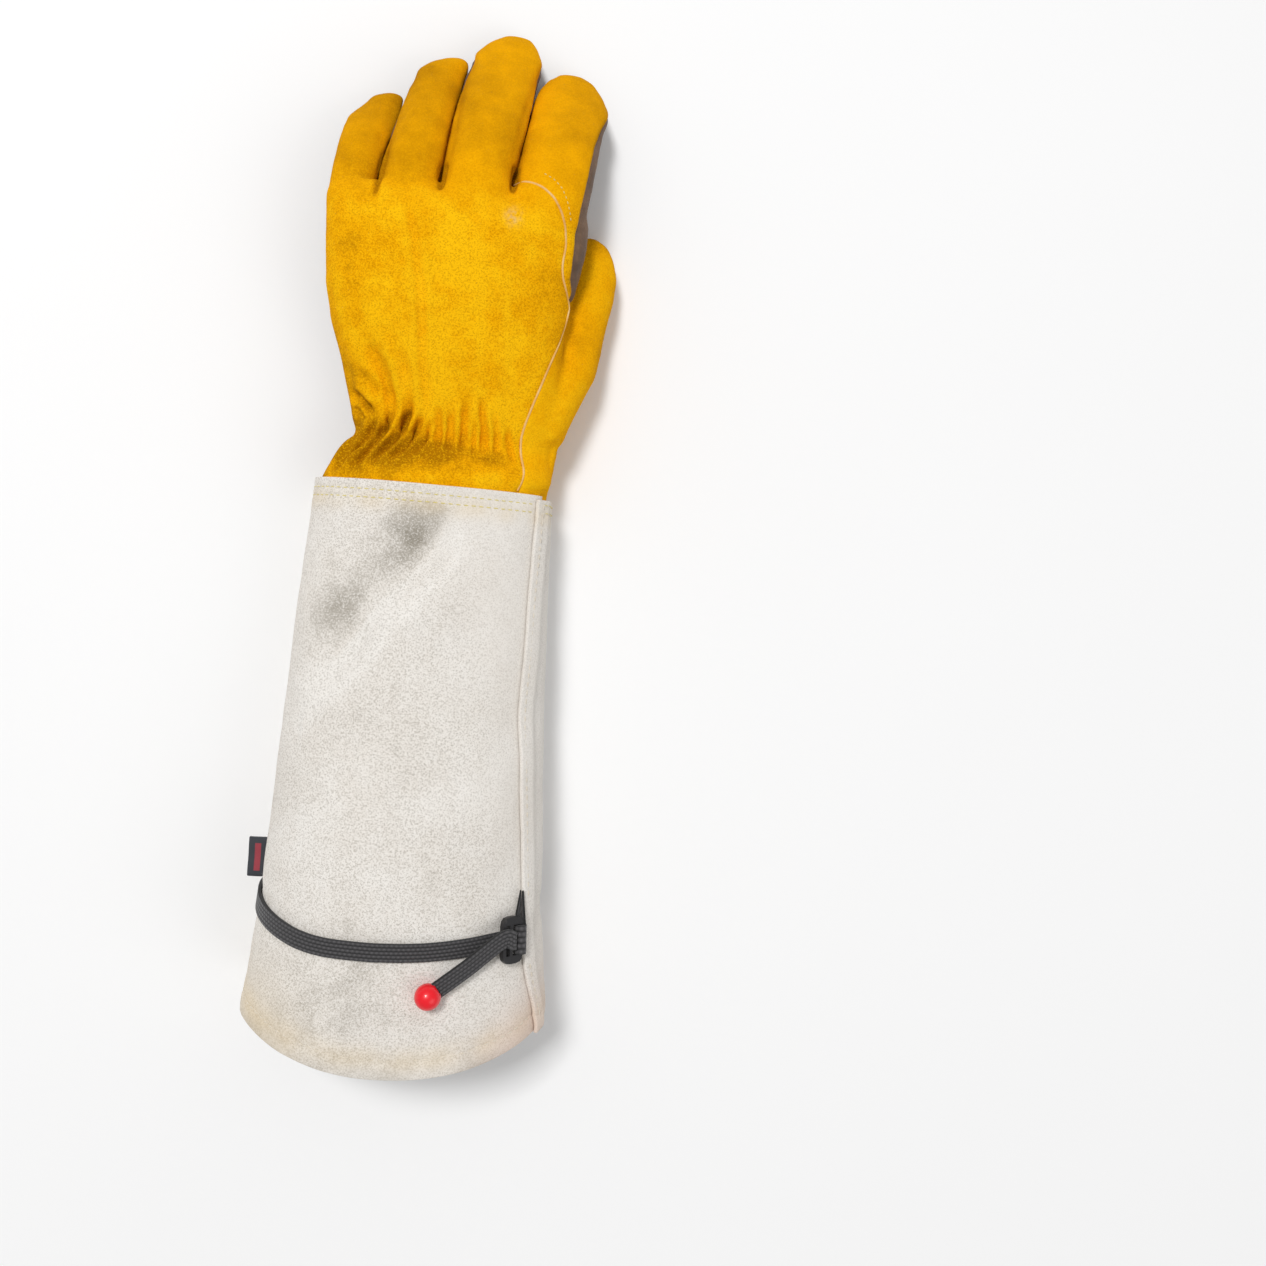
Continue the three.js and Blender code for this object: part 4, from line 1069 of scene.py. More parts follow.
@dataclass
class Cuff:
    """The cuff's two panels with their hem, lap, seams and stitches."""

    form: CuffForm = field(default_factory=CuffForm)
    wall: float = 2.0 * MM
    hem_turn: float = 14 * MM
    lap: float = 6 * MM
    lap_rise: float = 6 * MM
    lap_gap: float = 0.4 * MM
    seam_gap: float = 0.3 * MM
    under_step: float = 2.0 * MM
    stitch_rows: tuple[float, float] = (-4.4 * MM, -8.2 * MM)
    hem_stitch: float = 8.5 * MM
    cell: float = 1.35 * MM
    # Plan y half way down the cuff, with the rough radius and the height of the middle there.
    half_way: float = -0.12
    half_radius: float = 0.062
    half_height: float = 0.035
    # Length of a panel from its upper edge to the hem.
    panel_length: float = 0.262
    # Steps along a line of stitches, on the back's short one and on the others.
    few_steps: int = 700
    steps: int = 900

    def relief(self, angle: Points, y: Points, places: Points) -> Points:
        """Small ups and downs of the leather, positive outwards.

        Args:
            angle: Angle of each place.
            y: Plan y of each place.
            places: Where they are.

        Returns:
            The rise, in metres.
        """
        rise = 0.55 * MM * grain(places, 32 * MM, 3.1) + 0.28 * MM * grain(places, 13 * MM, 8.7)
        rise += 0.1 * MM * grain(places, 4.5 * MM, 5.3)
        for row in self.stitch_rows:
            rise -= 0.35 * MM * bell(y, 1.0 * MM, row)
        pull = bell(y, 5 * MM, np.mean(self.stitch_rows))
        rise += 0.22 * MM * pull * np.sin(places[:, 0] / (2.6 * MM) + 2 * np.sin(places[:, 0] / (9 * MM)))
        off_hem = y - self.form.hem_y(angle)
        rise -= 0.45 * MM * bell(off_hem, 1.1 * MM, self.hem_stitch)
        near_hem = bell(off_hem, 5 * MM, self.hem_stitch)
        rise += 0.3 * MM * near_hem * np.sin(places[:, 0] / (2.2 * MM) + 3 * np.sin(places[:, 0] / (14 * MM)))
        rise -= 0.3 * MM * smooth_step(3 * MM, 0, off_hem)
        return rise

    def panel(
        self,
        name: str,
        start: Callable[[Points], Points],
        end: Callable[[Points], Points],
        top: float,
        laps: bool,
    ) -> bpy.types.Object:
        """One panel as a walled sheet.

        Args:
            name: Name of the piece.
            start: Angle of its first edge at a plan y.
            end: Angle of its last edge at a plan y.
            top: Plan y of its top edge.
            laps: Whether its last edge climbs over the other panel.

        Returns:
            The piece.
        """
        form = self.form
        kept: dict[str, Points] = {}

        def place(u: Points, v: Points) -> Points:
            """Puts the grid on the cuff."""
            guess = top + v * (-form.length - top)
            angle = start(guess) + u * (end(guess) - start(guess))
            y = top + v * (form.hem_y(angle) - top)
            angle = start(y) + u * (end(y) - start(y))
            radius = form.radius(y)
            lifted = np.zeros(u.shape)
            if laps:
                to_edge = (end(y) - angle) * radius
                lifted = (self.wall + self.lap_gap) * smooth_step(self.lap + self.lap_rise, self.lap, to_edge)
            base = form.point(angle, y, -lifted)
            rise = self.relief(angle, y, base)
            seam = np.minimum(u, 1 - u) if not laps else u
            width = (end(y) - start(y)) * radius
            rise -= 0.5 * MM * bell(seam * width, 1.6 * MM)
            held = smooth_step(0, 6 * MM, base[:, 2])
            kept.update(angle=angle, y=y, off_hem=y - form.hem_y(angle))
            return base + form.normal(angle, y) * (rise * held)[:, None]

        half = np.array([self.half_way])
        across = float(np.mean(end(half) - start(half))) * self.half_radius
        mesh = grid_patch(round(across / self.cell), round(self.panel_length / self.cell), place, name)
        face_outwards(mesh, Vector((PLAN_X, PLAN_Y + self.half_way, self.half_height)))
        self.tint(mesh, kept)
        piece = new_object(name, mesh)
        thick = piece.vertex_groups.new(name="thick")
        doubled = smooth_step(self.hem_turn + 1 * MM, self.hem_turn - 1 * MM, kept["off_hem"])
        if laps:
            doubled *= (coordinates(mesh)[:, 2] < 0.045) | (coordinates(mesh)[:, 0] < PLAN_X)
        for index, share in enumerate(doubled.tolist()):
            thick.add([index], 0.5 + 0.42 * share, "REPLACE")
        add_walls(piece, 2 * self.wall, -1, "thick")
        add_rounding(piece, 0.5 * MM, 50)
        bake_modifiers(piece)
        return piece

    def tint(self, mesh: bpy.types.Mesh, kept: dict[str, Points]) -> None:
        """Paints where the split leather is lighter, darker or yellowed, with painted shade and painted highlight on
        the long crease's two slopes.

        Args:
            mesh: The panel's mesh.
            kept: Angle, plan y and distance from the hem of each vertex.
        """
        places = coordinates(mesh)
        x, y = places[:, 0] - PLAN_X, kept["y"]
        tone = 0.35 * grain(places, 45 * MM, 1.7)
        tone -= 0.5 * smooth_step(12 * MM, 0, kept["off_hem"]) * (0.5 + 0.5 * grain(places, 20 * MM, 4.4))
        half = self.form.half_width(y)
        # Painted shade on the crease's slow slope, which faces away from the light, and painted highlight on its
        # quick slope, which faces it.
        step = 1 * MM
        crease_shade_slope = (self.form.dent(x + step, y - step, half) - self.form.dent(x - step, y + step, half)) / (2.83 * step)
        tone -= 1.7 * np.clip(crease_shade_slope, -0.25, 0.8) * (places[:, 2] > 0.4 * self.form.height(y))
        even = smooth_step(5 * MM, 45 * MM, x + 0.25 * (y + 0.1)) * 0.75 + 0.25 * grain(places, 30 * MM, 5.5)
        even += smooth_step(8 * MM, 3 * MM, kept["off_hem"]) * 0.4
        left_hem = 0.6 * np.exp(-(((x + 62 * MM) / (22 * MM)) ** 2 + (kept["off_hem"] / (26 * MM)) ** 2))
        right_hem = np.exp(-(((x - 60 * MM) / (20 * MM)) ** 2 + (kept["off_hem"] / (22 * MM)) ** 2))
        top_gold = bell(y, 5 * MM, -9 * MM) * (0.5 + 0.5 * grain(places, 9 * MM, 2.2)) * 0.5
        hem_gold = bell(kept["off_hem"], 6 * MM, 9 * MM) * (0.5 + 0.5 * grain(places, 12 * MM, 6.2)) * 0.4
        warm = np.array(from_srgb(226, 200, 150))
        pink = np.array(from_srgb(222, 184, 160))
        amount = np.clip(left_hem * 0.55 + top_gold + hem_gold, 0, 1)
        rosy = np.clip(right_hem * 0.55, 0, 1)
        stained = np.clip(amount + rosy, 0, 0.85)
        share = (rosy / np.clip(amount + rosy, 1e-6, None))[:, None]
        colour = warm * (1 - share) + pink * share
        paint(mesh, tone, np.clip(even, 0, 1), stained, colour)

    def edge_angle(self, y: Points) -> Points:
        """Half the seam's gap on the little finger's side, as an angle."""
        return self.seam_gap / 2 / self.form.radius(y)

    def build(self, wardrobe: Wardrobe) -> None:
        """Makes and dresses the cuff.

        Args:
            wardrobe: The materials.
        """
        form = self.form
        back = self.panel(
            "cuff_back_leather",
            lambda y: form.lap_angle(y) - (self.lap - 1 * MM) / form.radius(y),
            lambda y: math.pi - self.edge_angle(y),
            0.0,
            False,
        )
        dress(back, Slot.CUFF, wardrobe.cuff, "cuff_back")
        under = self.panel(
            "cuff_under_leather",
            lambda y: math.pi + self.edge_angle(y),
            lambda y: 2 * math.pi + form.lap_angle(y),
            -self.under_step,
            True,
        )
        dress(under, Slot.CUFF, wardrobe.cuff, "cuff_under")
        self.stitch(wardrobe)

    def surface_line(self, angle: Points, y: Points, lifted: float = 0.0) -> tuple[Points, Points]:
        """A line on the leather's outside, with its outward directions.

        Args:
            angle: Angle of each point.
            y: Plan y of each point.
            lifted: How far outside the common surface.

        Returns:
            The points and the directions.
        """
        base = self.form.point(angle, y, -lifted)
        out = self.form.normal(angle, y)
        held = smooth_step(0, 6 * MM, base[:, 2])
        return base + out * (self.relief(angle, y, base) * held)[:, None], out

    def stitch(self, wardrobe: Wardrobe) -> None:
        """Sews the top edge, the hem and the lap.

        Args:
            wardrobe: The materials.
        """
        form = self.form
        top = Stitching("top_stitches", length=2.3 * MM, gap=1.2 * MM, thick=0.5 * MM)
        for row in self.stitch_rows:
            start = float(form.lap_angle(row))
            angle = np.linspace(start + 0.03, math.pi - 0.02, self.few_steps)
            top.lay(*self.surface_line(angle, np.full(self.few_steps, row)))
            angle = np.linspace(math.pi + 0.02, 2 * math.pi + start - 0.02, self.steps)
            radius = form.radius(np.array([row]))[0]
            lifted = (self.wall + self.lap_gap) * smooth_step(
                self.lap + self.lap_rise, self.lap, (2 * math.pi + start - angle) * radius
            )
            line = form.point(angle, np.full(self.steps, row), -lifted)
            keep = line[:, 2] > 1.5 * MM
            top.lay(line[keep], form.normal(angle, np.full(self.steps, row))[keep])
        dress(top.build(), Slot.CUFF, wardrobe.gold_thread)
        hem = Stitching("hem_stitches", length=2.6 * MM, gap=1.4 * MM, thick=0.55 * MM)
        angle = np.linspace(float(form.lap_angle(-form.length)) + 0.05, math.pi - 0.02, self.steps)
        hem.lay(*self.surface_line(angle, form.hem_y(angle) + self.hem_stitch))
        angle = np.linspace(math.pi + 0.02, 2 * math.pi + 0.1, self.steps)
        line, out = self.surface_line(angle, form.hem_y(angle) + self.hem_stitch)
        keep = line[:, 2] > 2 * MM
        hem.lay(line[keep], out[keep])
        y = np.linspace(-4 * MM, -form.length + 4 * MM, self.steps)
        radius = form.radius(y)
        angle = form.lap_angle(y) - 2.4 * MM / radius
        keep = np.abs(y - form.strap_y(angle)) > 14 * MM
        line = form.point(angle, y, -(self.wall + self.lap_gap))
        out = form.normal(angle, y)
        upper = keep & (y > form.strap_y(angle))
        lower = keep & (y < form.strap_y(angle))
        for part in (upper, lower):
            hem.lay(line[part], out[part])
        dress(hem.build(), Slot.CUFF, wardrobe.cream_thread)


# The strap and what is on it


@dataclass
class Strap:
    """Webbing round the cuff, through the slider and on to the ball."""

    form: CuffForm = field(default_factory=CuffForm)
    width: float = 8 * MM
    thick: float = 1.4 * MM
    gap: float = 0.7 * MM
    bar: float = 1.7 * MM
    slot: float = 3.9 * MM
    grip: float = 2 * MM
    slider_thick: float = 2.8 * MM
    slider_off: float = 1.4 * MM
    slider_turn: float = 0.14
    start_turn: float = 0.96
    tail_run: float = 1 * MM
    tail_rise: float = 1.5 * MM
    tail_arch: float = 1.2 * MM
    clearance: float = 0.35 * MM
    anchor_thick: float = 1.2 * MM
    anchor_width: float = 13 * MM
    anchor_flare: float = 17.5 * MM
    anchor_spread: float = 25 * MM
    anchor_slant: float = 9 * MM
    ball: float = 11.6 * MM
    ball_turn: float = 0.227
    ball_drop: float = 21 * MM
    ball_draw: float = 4 * MM
    samples: int = 190

    def __post_init__(self) -> None:
        """Works out where the slider and the ball sit."""
        form = self.form
        self.slider_y = float(form.strap_y(self.slider_turn * 2 * math.pi))
        self.radius = float(form.height(np.array([self.slider_y]))[0]) * 0.5
        self.slider_wide = 3 * self.bar + self.slot + self.grip
        self.middle_bar = -self.slider_wide / 2 + self.bar + self.slot
        off_lap = (self.slider_wide / 2 + self.slider_off) / self.radius
        self.slider_angle = float(form.lap_angle(self.slider_y)) + off_lap
        self.lift = form.cinch + self.gap + self.thick + self.clearance + self.slider_thick / 2
        out = Vector(self.form.normal(np.array([self.slider_angle]), np.array([self.slider_y]))[0])
        towards = out.cross(Vector((0, 1, 0))).normalized()
        down = out.cross(towards).normalized()
        seat = Vector(self.form.point(np.array([self.slider_angle]), np.array([self.slider_y]))[0])
        self.frame = Matrix.Translation(seat) @ Matrix((towards, down, out)).transposed().to_4x4()
        self.ball_y = self.slider_y - self.ball_drop
        angle = np.array([self.ball_turn * 2 * math.pi])
        y = np.array([self.ball_y])
        self.ball_out = Vector(self.form.normal(angle, y)[0])
        self.ball_centre = Vector(self.form.point(angle, y)[0]) + self.ball_out * (self.ball / 2 + self.clearance)

    def local(self, x: float, y: float, z: float) -> Vector:
        """A place in the slider's own frame."""
        return self.frame @ Vector((x, y, z))

    def turned(self, x: float, y: float, z: float) -> Vector:
        """A direction in the slider's own frame."""
        return (self.frame.to_3x3() @ Vector((x, y, z))).normalized()

    def round_bar(self, edge: float, side: float, thick: float) -> list[tuple[Vector, Vector]]:
        """The bend round a bar's edge, from under it to over it.

        Args:
            edge: Where the bar's edge is.
            side: Which way the bend bulges.
            thick: Thickness of the webbing.

        Returns:
            Places and the directions that one face looks to.
        """
        radius = self.clearance + thick / 2
        made = []
        for half in (-1, 1):
            for step in range(5):
                angle = math.pi / 8 * (step if half < 0 else 4 - step)
                out, up = math.sin(angle), half * math.cos(angle)
                rise = half * self.slider_thick / 2 + radius * up
                place = self.local(edge + side * radius * out, 0, self.lift + rise)
                made.append((place, self.turned(-side * out, 0, -up)))
        return made

    def path(self) -> list[tuple[Vector, Vector]]:
        """The strap's middle line and the direction that one face looks to.

        Returns:
            Places and directions.
        """
        form = self.form
        start = self.start_turn * 2 * math.pi
        end = self.slider_angle + (self.middle_bar + 2 * self.bar) / self.radius
        angle = np.linspace(start, end, self.samples)
        y = form.strap_y(angle)
        out = form.normal(angle, y)
        places = form.point(angle, y) + out * (self.gap + self.thick / 2)
        made = [(Vector(p), Vector(n)) for p, n in zip(places, out)]
        loop = self.round_bar(self.middle_bar, -1, self.thick)
        over = self.lift + self.slider_thick / 2 + self.clearance + self.thick / 2
        leave = self.local(self.slider_wide / 2 + self.tail_run, -self.tail_rise, over)
        towards = (leave - self.ball_centre).normalized()
        stop = self.ball_centre + towards * (self.ball / 2 - self.ball_draw)
        middle = leave.lerp(stop, 0.5) + self.ball_out * self.tail_arch
        ends = [loop[-1][0], leave, middle, stop]
        face = self.turned(0, 0, -1)
        made += loop
        for a, b, c, d in ((ends[0] * 2 - ends[1], *ends[:3]), tuple(ends), (*ends[1:], ends[3] * 2 - ends[2])):
            for step in range(1, 13):
                t = step / 12
                bend, twist = 2 * a - 5 * b + 4 * c - d, 3 * b - a - 3 * c + d
                place = 0.5 * (2 * b + (c - a) * t + bend * t * t + twist * t**3)
                made.append((place, face))
        return made

    def band(
        self,
        name: str,
        path: list[tuple[Vector, Vector]],
        thick: float,
        widths: Points,
        across: Vector | None = None,
    ) -> bpy.types.Object:
        """Webbing along a path.

        Args:
            name: Name of the piece.
            path: Places and the direction that one face looks to.
            thick: Thickness.
            widths: Width at each place.
            across: Fixed direction across the band, or None.

        Returns:
            The piece.
        """
        places = np.array([p[:] for p, _ in path])
        ups = np.array([u[:] for _, u in path])
        runs = np.gradient(places, axis=0)
        runs /= np.linalg.norm(runs, axis=1, keepdims=True)
        sides = np.cross(runs, ups) if across is None else np.tile(np.array(across[:]), (len(path), 1))
        sides /= np.linalg.norm(sides, axis=1, keepdims=True)
        walked = walk(places)

        def place(u: Points, v: Points) -> Points:
            """Puts the grid on the band."""
            at = u * walked[-1]
            middle = np.stack([np.interp(at, walked, places[:, a]) for a in range(3)], -1)
            side = np.stack([np.interp(at, walked, sides[:, a]) for a in range(3)], -1)
            side /= np.linalg.norm(side, axis=1, keepdims=True)
            return middle + side * ((v - 0.5) * np.interp(at, walked, widths))[:, None]

        steps = round(walked[-1] / (1.0 * MM))
        mesh = grid_patch(steps, 10, place, name, (float(walked[-1]), 1.0))
        piece = new_object(name, mesh)
        add_walls(piece, thick, 0)
        add_rounding(piece, 0.4 * MM, 60)
        bake_modifiers(piece)
        return piece

    def build(self, wardrobe: Wardrobe) -> None:
        """Makes and dresses the strap, its anchor, the slider and the ball.

        Args:
            wardrobe: The materials.
        """
        path = self.path()
        strap = self.band("strap_webbing", path, self.thick, np.full(len(path), self.width))
        dress(strap, Slot.WEBBING, wardrobe.webbing, "strap")
        self.build_anchor(wardrobe)
        self.build_slider(wardrobe)
        self.build_ball(wardrobe)

    def build_anchor(self, wardrobe: Wardrobe) -> None:
        """Makes the folded webbing between the seam and the slider."""
        edge = -(self.slider_wide / 2 + self.slider_off - self.clearance)
        rise = self.lift - self.slider_thick / 2 - self.clearance - self.anchor_thick / 2
        loop = self.round_bar(-(self.slider_wide / 2 - self.bar), 1, self.anchor_thick)
        corner = self.round_bar(-self.slider_wide / 2, -1, self.anchor_thick)[5:][::-1]
        under = (self.local(edge, -self.anchor_slant, rise), self.turned(0, 0, 1))
        over = (self.local(edge, -self.anchor_slant, rise + self.anchor_thick + 0.4 * MM), self.turned(1, 0, 0))
        aside = (self.anchor_width - self.anchor_flare) / 2
        flare = (self.local(self.middle_bar - self.slot - self.clearance, aside, rise), self.turned(0, 0, 1))
        path = [under, flare, *loop, *corner, over]
        widths = np.full(len(path), self.anchor_width)
        widths[[0, -1]] = self.anchor_spread
        widths[1] = self.anchor_flare
        piece = self.band("anchor_webbing", path, self.anchor_thick, widths, self.turned(0, 1, 0))
        dress(piece, Slot.WEBBING, wardrobe.webbing, "slider_anchor")

    def build_slider(self, wardrobe: Wardrobe) -> None:
        """Rounds the moulded slider's edges."""
        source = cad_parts["slider"]
        bm = bmesh.new()
        bm.from_mesh(source.data)
        bmesh.ops.remove_doubles(bm, verts=bm.verts, dist=WELD)
        flat = [e for e in bm.edges if len(e.link_faces) == 2 and e.calc_face_angle() < 0.02]
        bmesh.ops.dissolve_edges(bm, edges=flat, use_verts=True)
        sharp = [e for e in bm.edges if len(e.link_faces) == 2 and e.calc_face_angle() > 0.5]
        round_edges(bm, sharp, 0.6 * MM, 4)
        bmesh.ops.triangulate(bm, faces=[f for f in bm.faces if len(f.verts) > 4])
        piece = new_object("slider_moulding", mesh_from(bm, "slider_moulding"))
        dress(piece, Slot.PLASTIC, wardrobe.plastic, "slider")

    def build_ball(self, wardrobe: Wardrobe) -> None:
        """Makes the ball, with a sunk flat where the tail goes in."""
        bm = bmesh.new()
        bmesh.ops.create_uvsphere(bm, u_segments=48, v_segments=32, radius=self.ball / 2)
        ends = self.path()
        run = (ends[-1][0] - ends[-4][0]).normalized()
        turn = Vector((0, 0, -1)).rotation_difference(run).to_matrix()
        top = [v for v in bm.verts if v.co.z > self.ball * 0.46]
        bmesh.ops.delete(bm, geom=top, context="VERTS")
        rim = [e for e in bm.edges if e.is_boundary]
        inward = bmesh.ops.extrude_edge_only(bm, edges=rim)["geom"]
        moved = [g for g in inward if isinstance(g, bmesh.types.BMVert)]
        bmesh.ops.translate(bm, verts=moved, vec=(0, 0, -1.2 * MM))
        bmesh.ops.contextual_create(bm, geom=[g for g in inward if isinstance(g, bmesh.types.BMEdge)])
        bmesh.ops.transform(bm, matrix=Matrix.Translation(self.ball_centre) @ turn.to_4x4(), verts=bm.verts)
        piece = new_object("ball_moulding", mesh_from(bm, "ball_moulding"))
        dress(piece, Slot.BALL, wardrobe.ball, "strap_ball")


@dataclass
class Label:
    """The folded woven tab in the little finger's side seam."""

    fold: float = 0.9 * MM

    def build(self) -> None:
        """Makes and dresses the tab."""
        low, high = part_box("label_tab")
        middle = (low + high) / 2
        size = high - low
        bm = bmesh.new()
        bmesh.ops.create_cube(bm, size=1, matrix=Matrix.Translation(middle) @ Matrix.Diagonal((*size, 1)))
        edges = [e for e in bm.edges if abs((e.verts[0].co - e.verts[1].co).z) < 1e-6]
        bmesh.ops.subdivide_edges(bm, edges=edges, cuts=12, use_grid_fill=True)
        for vert in bm.verts:
            along = (vert.co.x - low.x) / size.x
            vert.co.z += 0.5 * MM * math.sin(math.pi * along) * (1 if vert.co.z > middle.z else 0.4)
            vert.co.z += 0.35 * MM * math.sin(9 * (vert.co.y - low.y) / size.y)
        outer = [e for e in bm.edges if abs(e.verts[0].co.x - low.x) < 1e-6 and abs(e.verts[1].co.x - low.x) < 1e-6]
        round_edges(bm, outer, self.fold / 2, 3)
        piece = new_object("label_tape", mesh_from(bm, "label_tape"))
        face = LabelFinish(
            "woven label",
            tape=from_srgb(58, 60, 66),
            stripe=from_srgb(190, 60, 74),
            middle=(low.x + 4.3 * MM, middle.y, middle.z),
            half_width=1.5 * MM,
            half_length=6.6 * MM,
        )
        dress(piece, Slot.LABEL, face.build(), "label_tab")


# The hand


class Panel(Enum):
    """The hand's four pieces of leather, as the CAD names them."""

    BACK = "back_panel"
    INDEX = "index_panel"
    THUMB = "thumb_panel"
    PALM = "palm_panel"


@dataclass(frozen=True)
class Crease:
    """A fold line on the back of the hand, in plan millimetres."""

    line: Line
    deep: float
    wide: float
    ridge: float = 0.4
    taper: float = 0.3


# The long crease that runs up to the ring finger, in plan millimetres.
LONG_CREASE: Line = (
    *((-4.8, 31), (-6.5, 44.3), (-9, 57.5), (-10.6, 74.9)),
    *((-11.3, 83.7), (-13.9, 96.8), (-16.4, 110.4), (-20.7, 126)),
)


@dataclass
class Hand:
    """The hand's leather, grown from its solids as one skin and cut along its seams."""

    voxel: float = 0.95 * MM
    grow: float = 0.25 * MM
    wall: float = 1.5 * MM
    wrist_end: float = -12.5 * MM
    smoothing: int = 42
    regaining: int = 16
    slit_rest: float = 0.15 * MM
    slit_mouth: float = 0.3 * MM
    slit_deep: float = 2.4 * MM
    palm_strip: float = 1.4 * MM
    trims: int = 4
    # The slits between the fingers, from root to end, in plan millimetres.
    slits: tuple[tuple[tuple[float, float], tuple[float, float]], ...] = (
        ((-35.9, 125.5), (-26.8, 183.1)),
        ((-6.5, 135.4), (1.9, 204.7)),
        ((25.9, 138.0), (37.4, 207.6)),
    )
    # Ways to look for open air from each place of the skin.
    look_ways: tuple[tuple[float, float, float], ...] = (
        *((0, 0, 1), (0, 0, -1), (1, 0, 0), (-1, 0, 0), (0, 1, 0), (0.7, 0, 0.7), (-0.7, 0, 0.7)),
        *((0.5, 0.5, 0.7), (-0.5, 0.5, 0.7), (0.6, 0, -0.8), (-0.6, 0, -0.8)),
    )
    # Where each slit's root runs on into the back of the hand, in plan millimetres.
    slit_roots: tuple[Line, ...] = (
        ((-34.9, 121.5), (-34.0, 131.0), (-33.0, 142.0), (-31.5, 152.0)),
        ((-6.5, 129.6), (-5.6, 142.0), (-4.9, 147.0)),
        ((26.0, 133.2), (27.0, 145.0), (27.7, 150.0)),
    )
    # How the roots' steps are rounded: rounds, how far past the root and how far round it,
    # in millimetres.
    root_rounds: int = 22
    root_ahead: float = 4.0
    root_reach: float = 9.0
    # Middle, radius and shift of each place where a fingertip is drawn to its outline, in
    # plan millimetres.
    tip_shifts: tuple[tuple[float, float, float, float, float], ...] = (
        *((6, 211, 8, -2.2, 0), (36, 209, 8, 2.8, 0), (-19, 199, 7, -1.6, 1.0), (0.5, 205, 5, 2.2, 1.0)),
        *((69, 187, 9, 2.8, 0), (-45, 178, 7, 1.6, -1.2)),
    )
    fold_deep: float = 1.15
    # Places along the welt.
    welt_steps: int = 260
    creases: tuple[Crease, ...] = (
        Crease(((-34, 66), (-31.2, 57), (-26.6, 48), (-22.7, 38), (-20.9, 28)), 2.6, 3.0, 0.35),
        Crease(((-19.3, 62), (-16.3, 48.2), (-13.6, 35.1), (-12.7, 27)), 1.3, 2.2, 0.35),
        Crease(((-48, 2), (-44.5, 6.5), (-39, 12.5), (-33.6, 18)), 2.6, 1.5),
        Crease(((-45.5, 3), (-41, 9), (-35.5, 15.5), (-29.6, 22.5), (-27.6, 31)), 3.6, 1.6),
        Crease(((-38.5, 4), (-33.5, 10.5), (-28.2, 17.5), (-23.2, 25), (-21.3, 34)), 4.2, 1.7),
        Crease(((-31, 6), (-26, 12.5), (-21, 18), (-15.6, 25), (-13.3, 33), (-12.9, 40)), 3.6, 1.6),
        Crease(((-22.5, 9), (-18, 13.5), (-13.9, 18), (-9.4, 24.5), (-7.4, 33)), 2.8, 1.5),
        Crease(((-14, 12), (-9.5, 16.5), (-5, 22), (-3.2, 30)), 1.8, 1.4),
        Crease(((-42, 42), (-37, 37.7), (-31.5, 33.3), (-28.4, 28.6)), 2.4, 1.5),
        Crease(((-38.5, 34.5), (-35.6, 31), (-33.4, 27)), 1.8, 1.2),
        Crease(((-37, 50), (-31.5, 44.5), (-26, 38)), 1.3, 1.7),
        Crease(((0.6, 15.2), (0.7, 27), (-0.4, 38)), 1.5, 1.3),
        Crease(((5.6, 15.3), (6.0, 27), (5.4, 36)), 1.2, 1.2),
        Crease(((11.8, 15.4), (12.4, 26), (11.6, 41)), 1.7, 1.4),
        Crease(((17.0, 15.5), (17.2, 31)), 1.1, 1.2),
        Crease(((22.1, 15.5), (21.4, 28), (18.6, 44)), 1.6, 1.4),
        Crease(((28.8, 15), (27.8, 26), (24.6, 38)), 1.3, 1.3),
        Crease(((36.6, 13), (34.8, 20), (31.6, 30.9)), 1.2, 1.2),
        Crease(LONG_CREASE, 1.1, 1.9, 0.5, 0.12),
    )
    back_seam: Line = (
        *((26.9, 141.4), (33.6, 140.3), (39.1, 138.3), (44.8, 134), (48.8, 127.8), (51.2, 121.3)),
        *((52.2, 114), (51.1, 105.5), (52, 99.9), (54.5, 94.8), (57, 88.8), (55.8, 80.9), (53.3, 71.4)),
        *((49.1, 59.5), (45.9, 50), (42.7, 40.4), (40.3, 32.8), (38.9, 26.1), (39.4, 18.3), (41.4, 10.7)),
        *((40.8, 5.8), (38.8, 1.2)),
    )
    knuckle_row: Line = (
        *((39.8, 144.6), (44.2, 142.3), (48.2, 138.4), (50.6, 134.0), (52.4, 128.8), (53.8, 122.9)),
    )
    fields: dict[Panel, Points] = field(default_factory=dict)
    # Painted shade of the creases and slit grooves, which the tint takes off the tone.
    painted_valley_shade: Points = field(default_factory=lambda: np.zeros(0))

    def skin(self) -> bpy.types.Object:
        """One closed skin round the hand's solids.

        Returns:
            The skin as an object.
        """
        bm = bmesh.new()
        for name in (*(panel.value for panel in Panel), "seam_welt"):
            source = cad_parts[name].data
            part = bmesh.new()
            part.from_mesh(source)
            bmesh.ops.remove_doubles(part, verts=part.verts, dist=WELD)
            part.normal_update()
            grow = self.grow if name != "seam_welt" else -0.2 * MM
            for vert in part.verts:
                vert.co += vert.normal * grow
            pour(part, bm)
        end = PLAN_Y + self.wrist_end
        rim = [v for v in bm.verts if v.co.y < end]
        plug = bmesh.new()
        for vert in rim:
            plug.verts.new(vert.co)
            plug.verts.new(vert.co + Vector((0, 2.5 * MM, 0)))
        hull = bmesh.ops.convex_hull(plug, input=plug.verts)
        bmesh.ops.delete(plug, geom=hull["geom_interior"], context="VERTS")
        pour(plug, bm)
        piece = new_object("hand_skin", mesh_from(bm, "hand_skin"))
        remesh = piece.modifiers.new("skin", "REMESH")
        remesh.mode = "VOXEL"
        remesh.voxel_size = self.voxel
        bake_modifiers(piece)
        self.drop_inside(piece)
        return piece

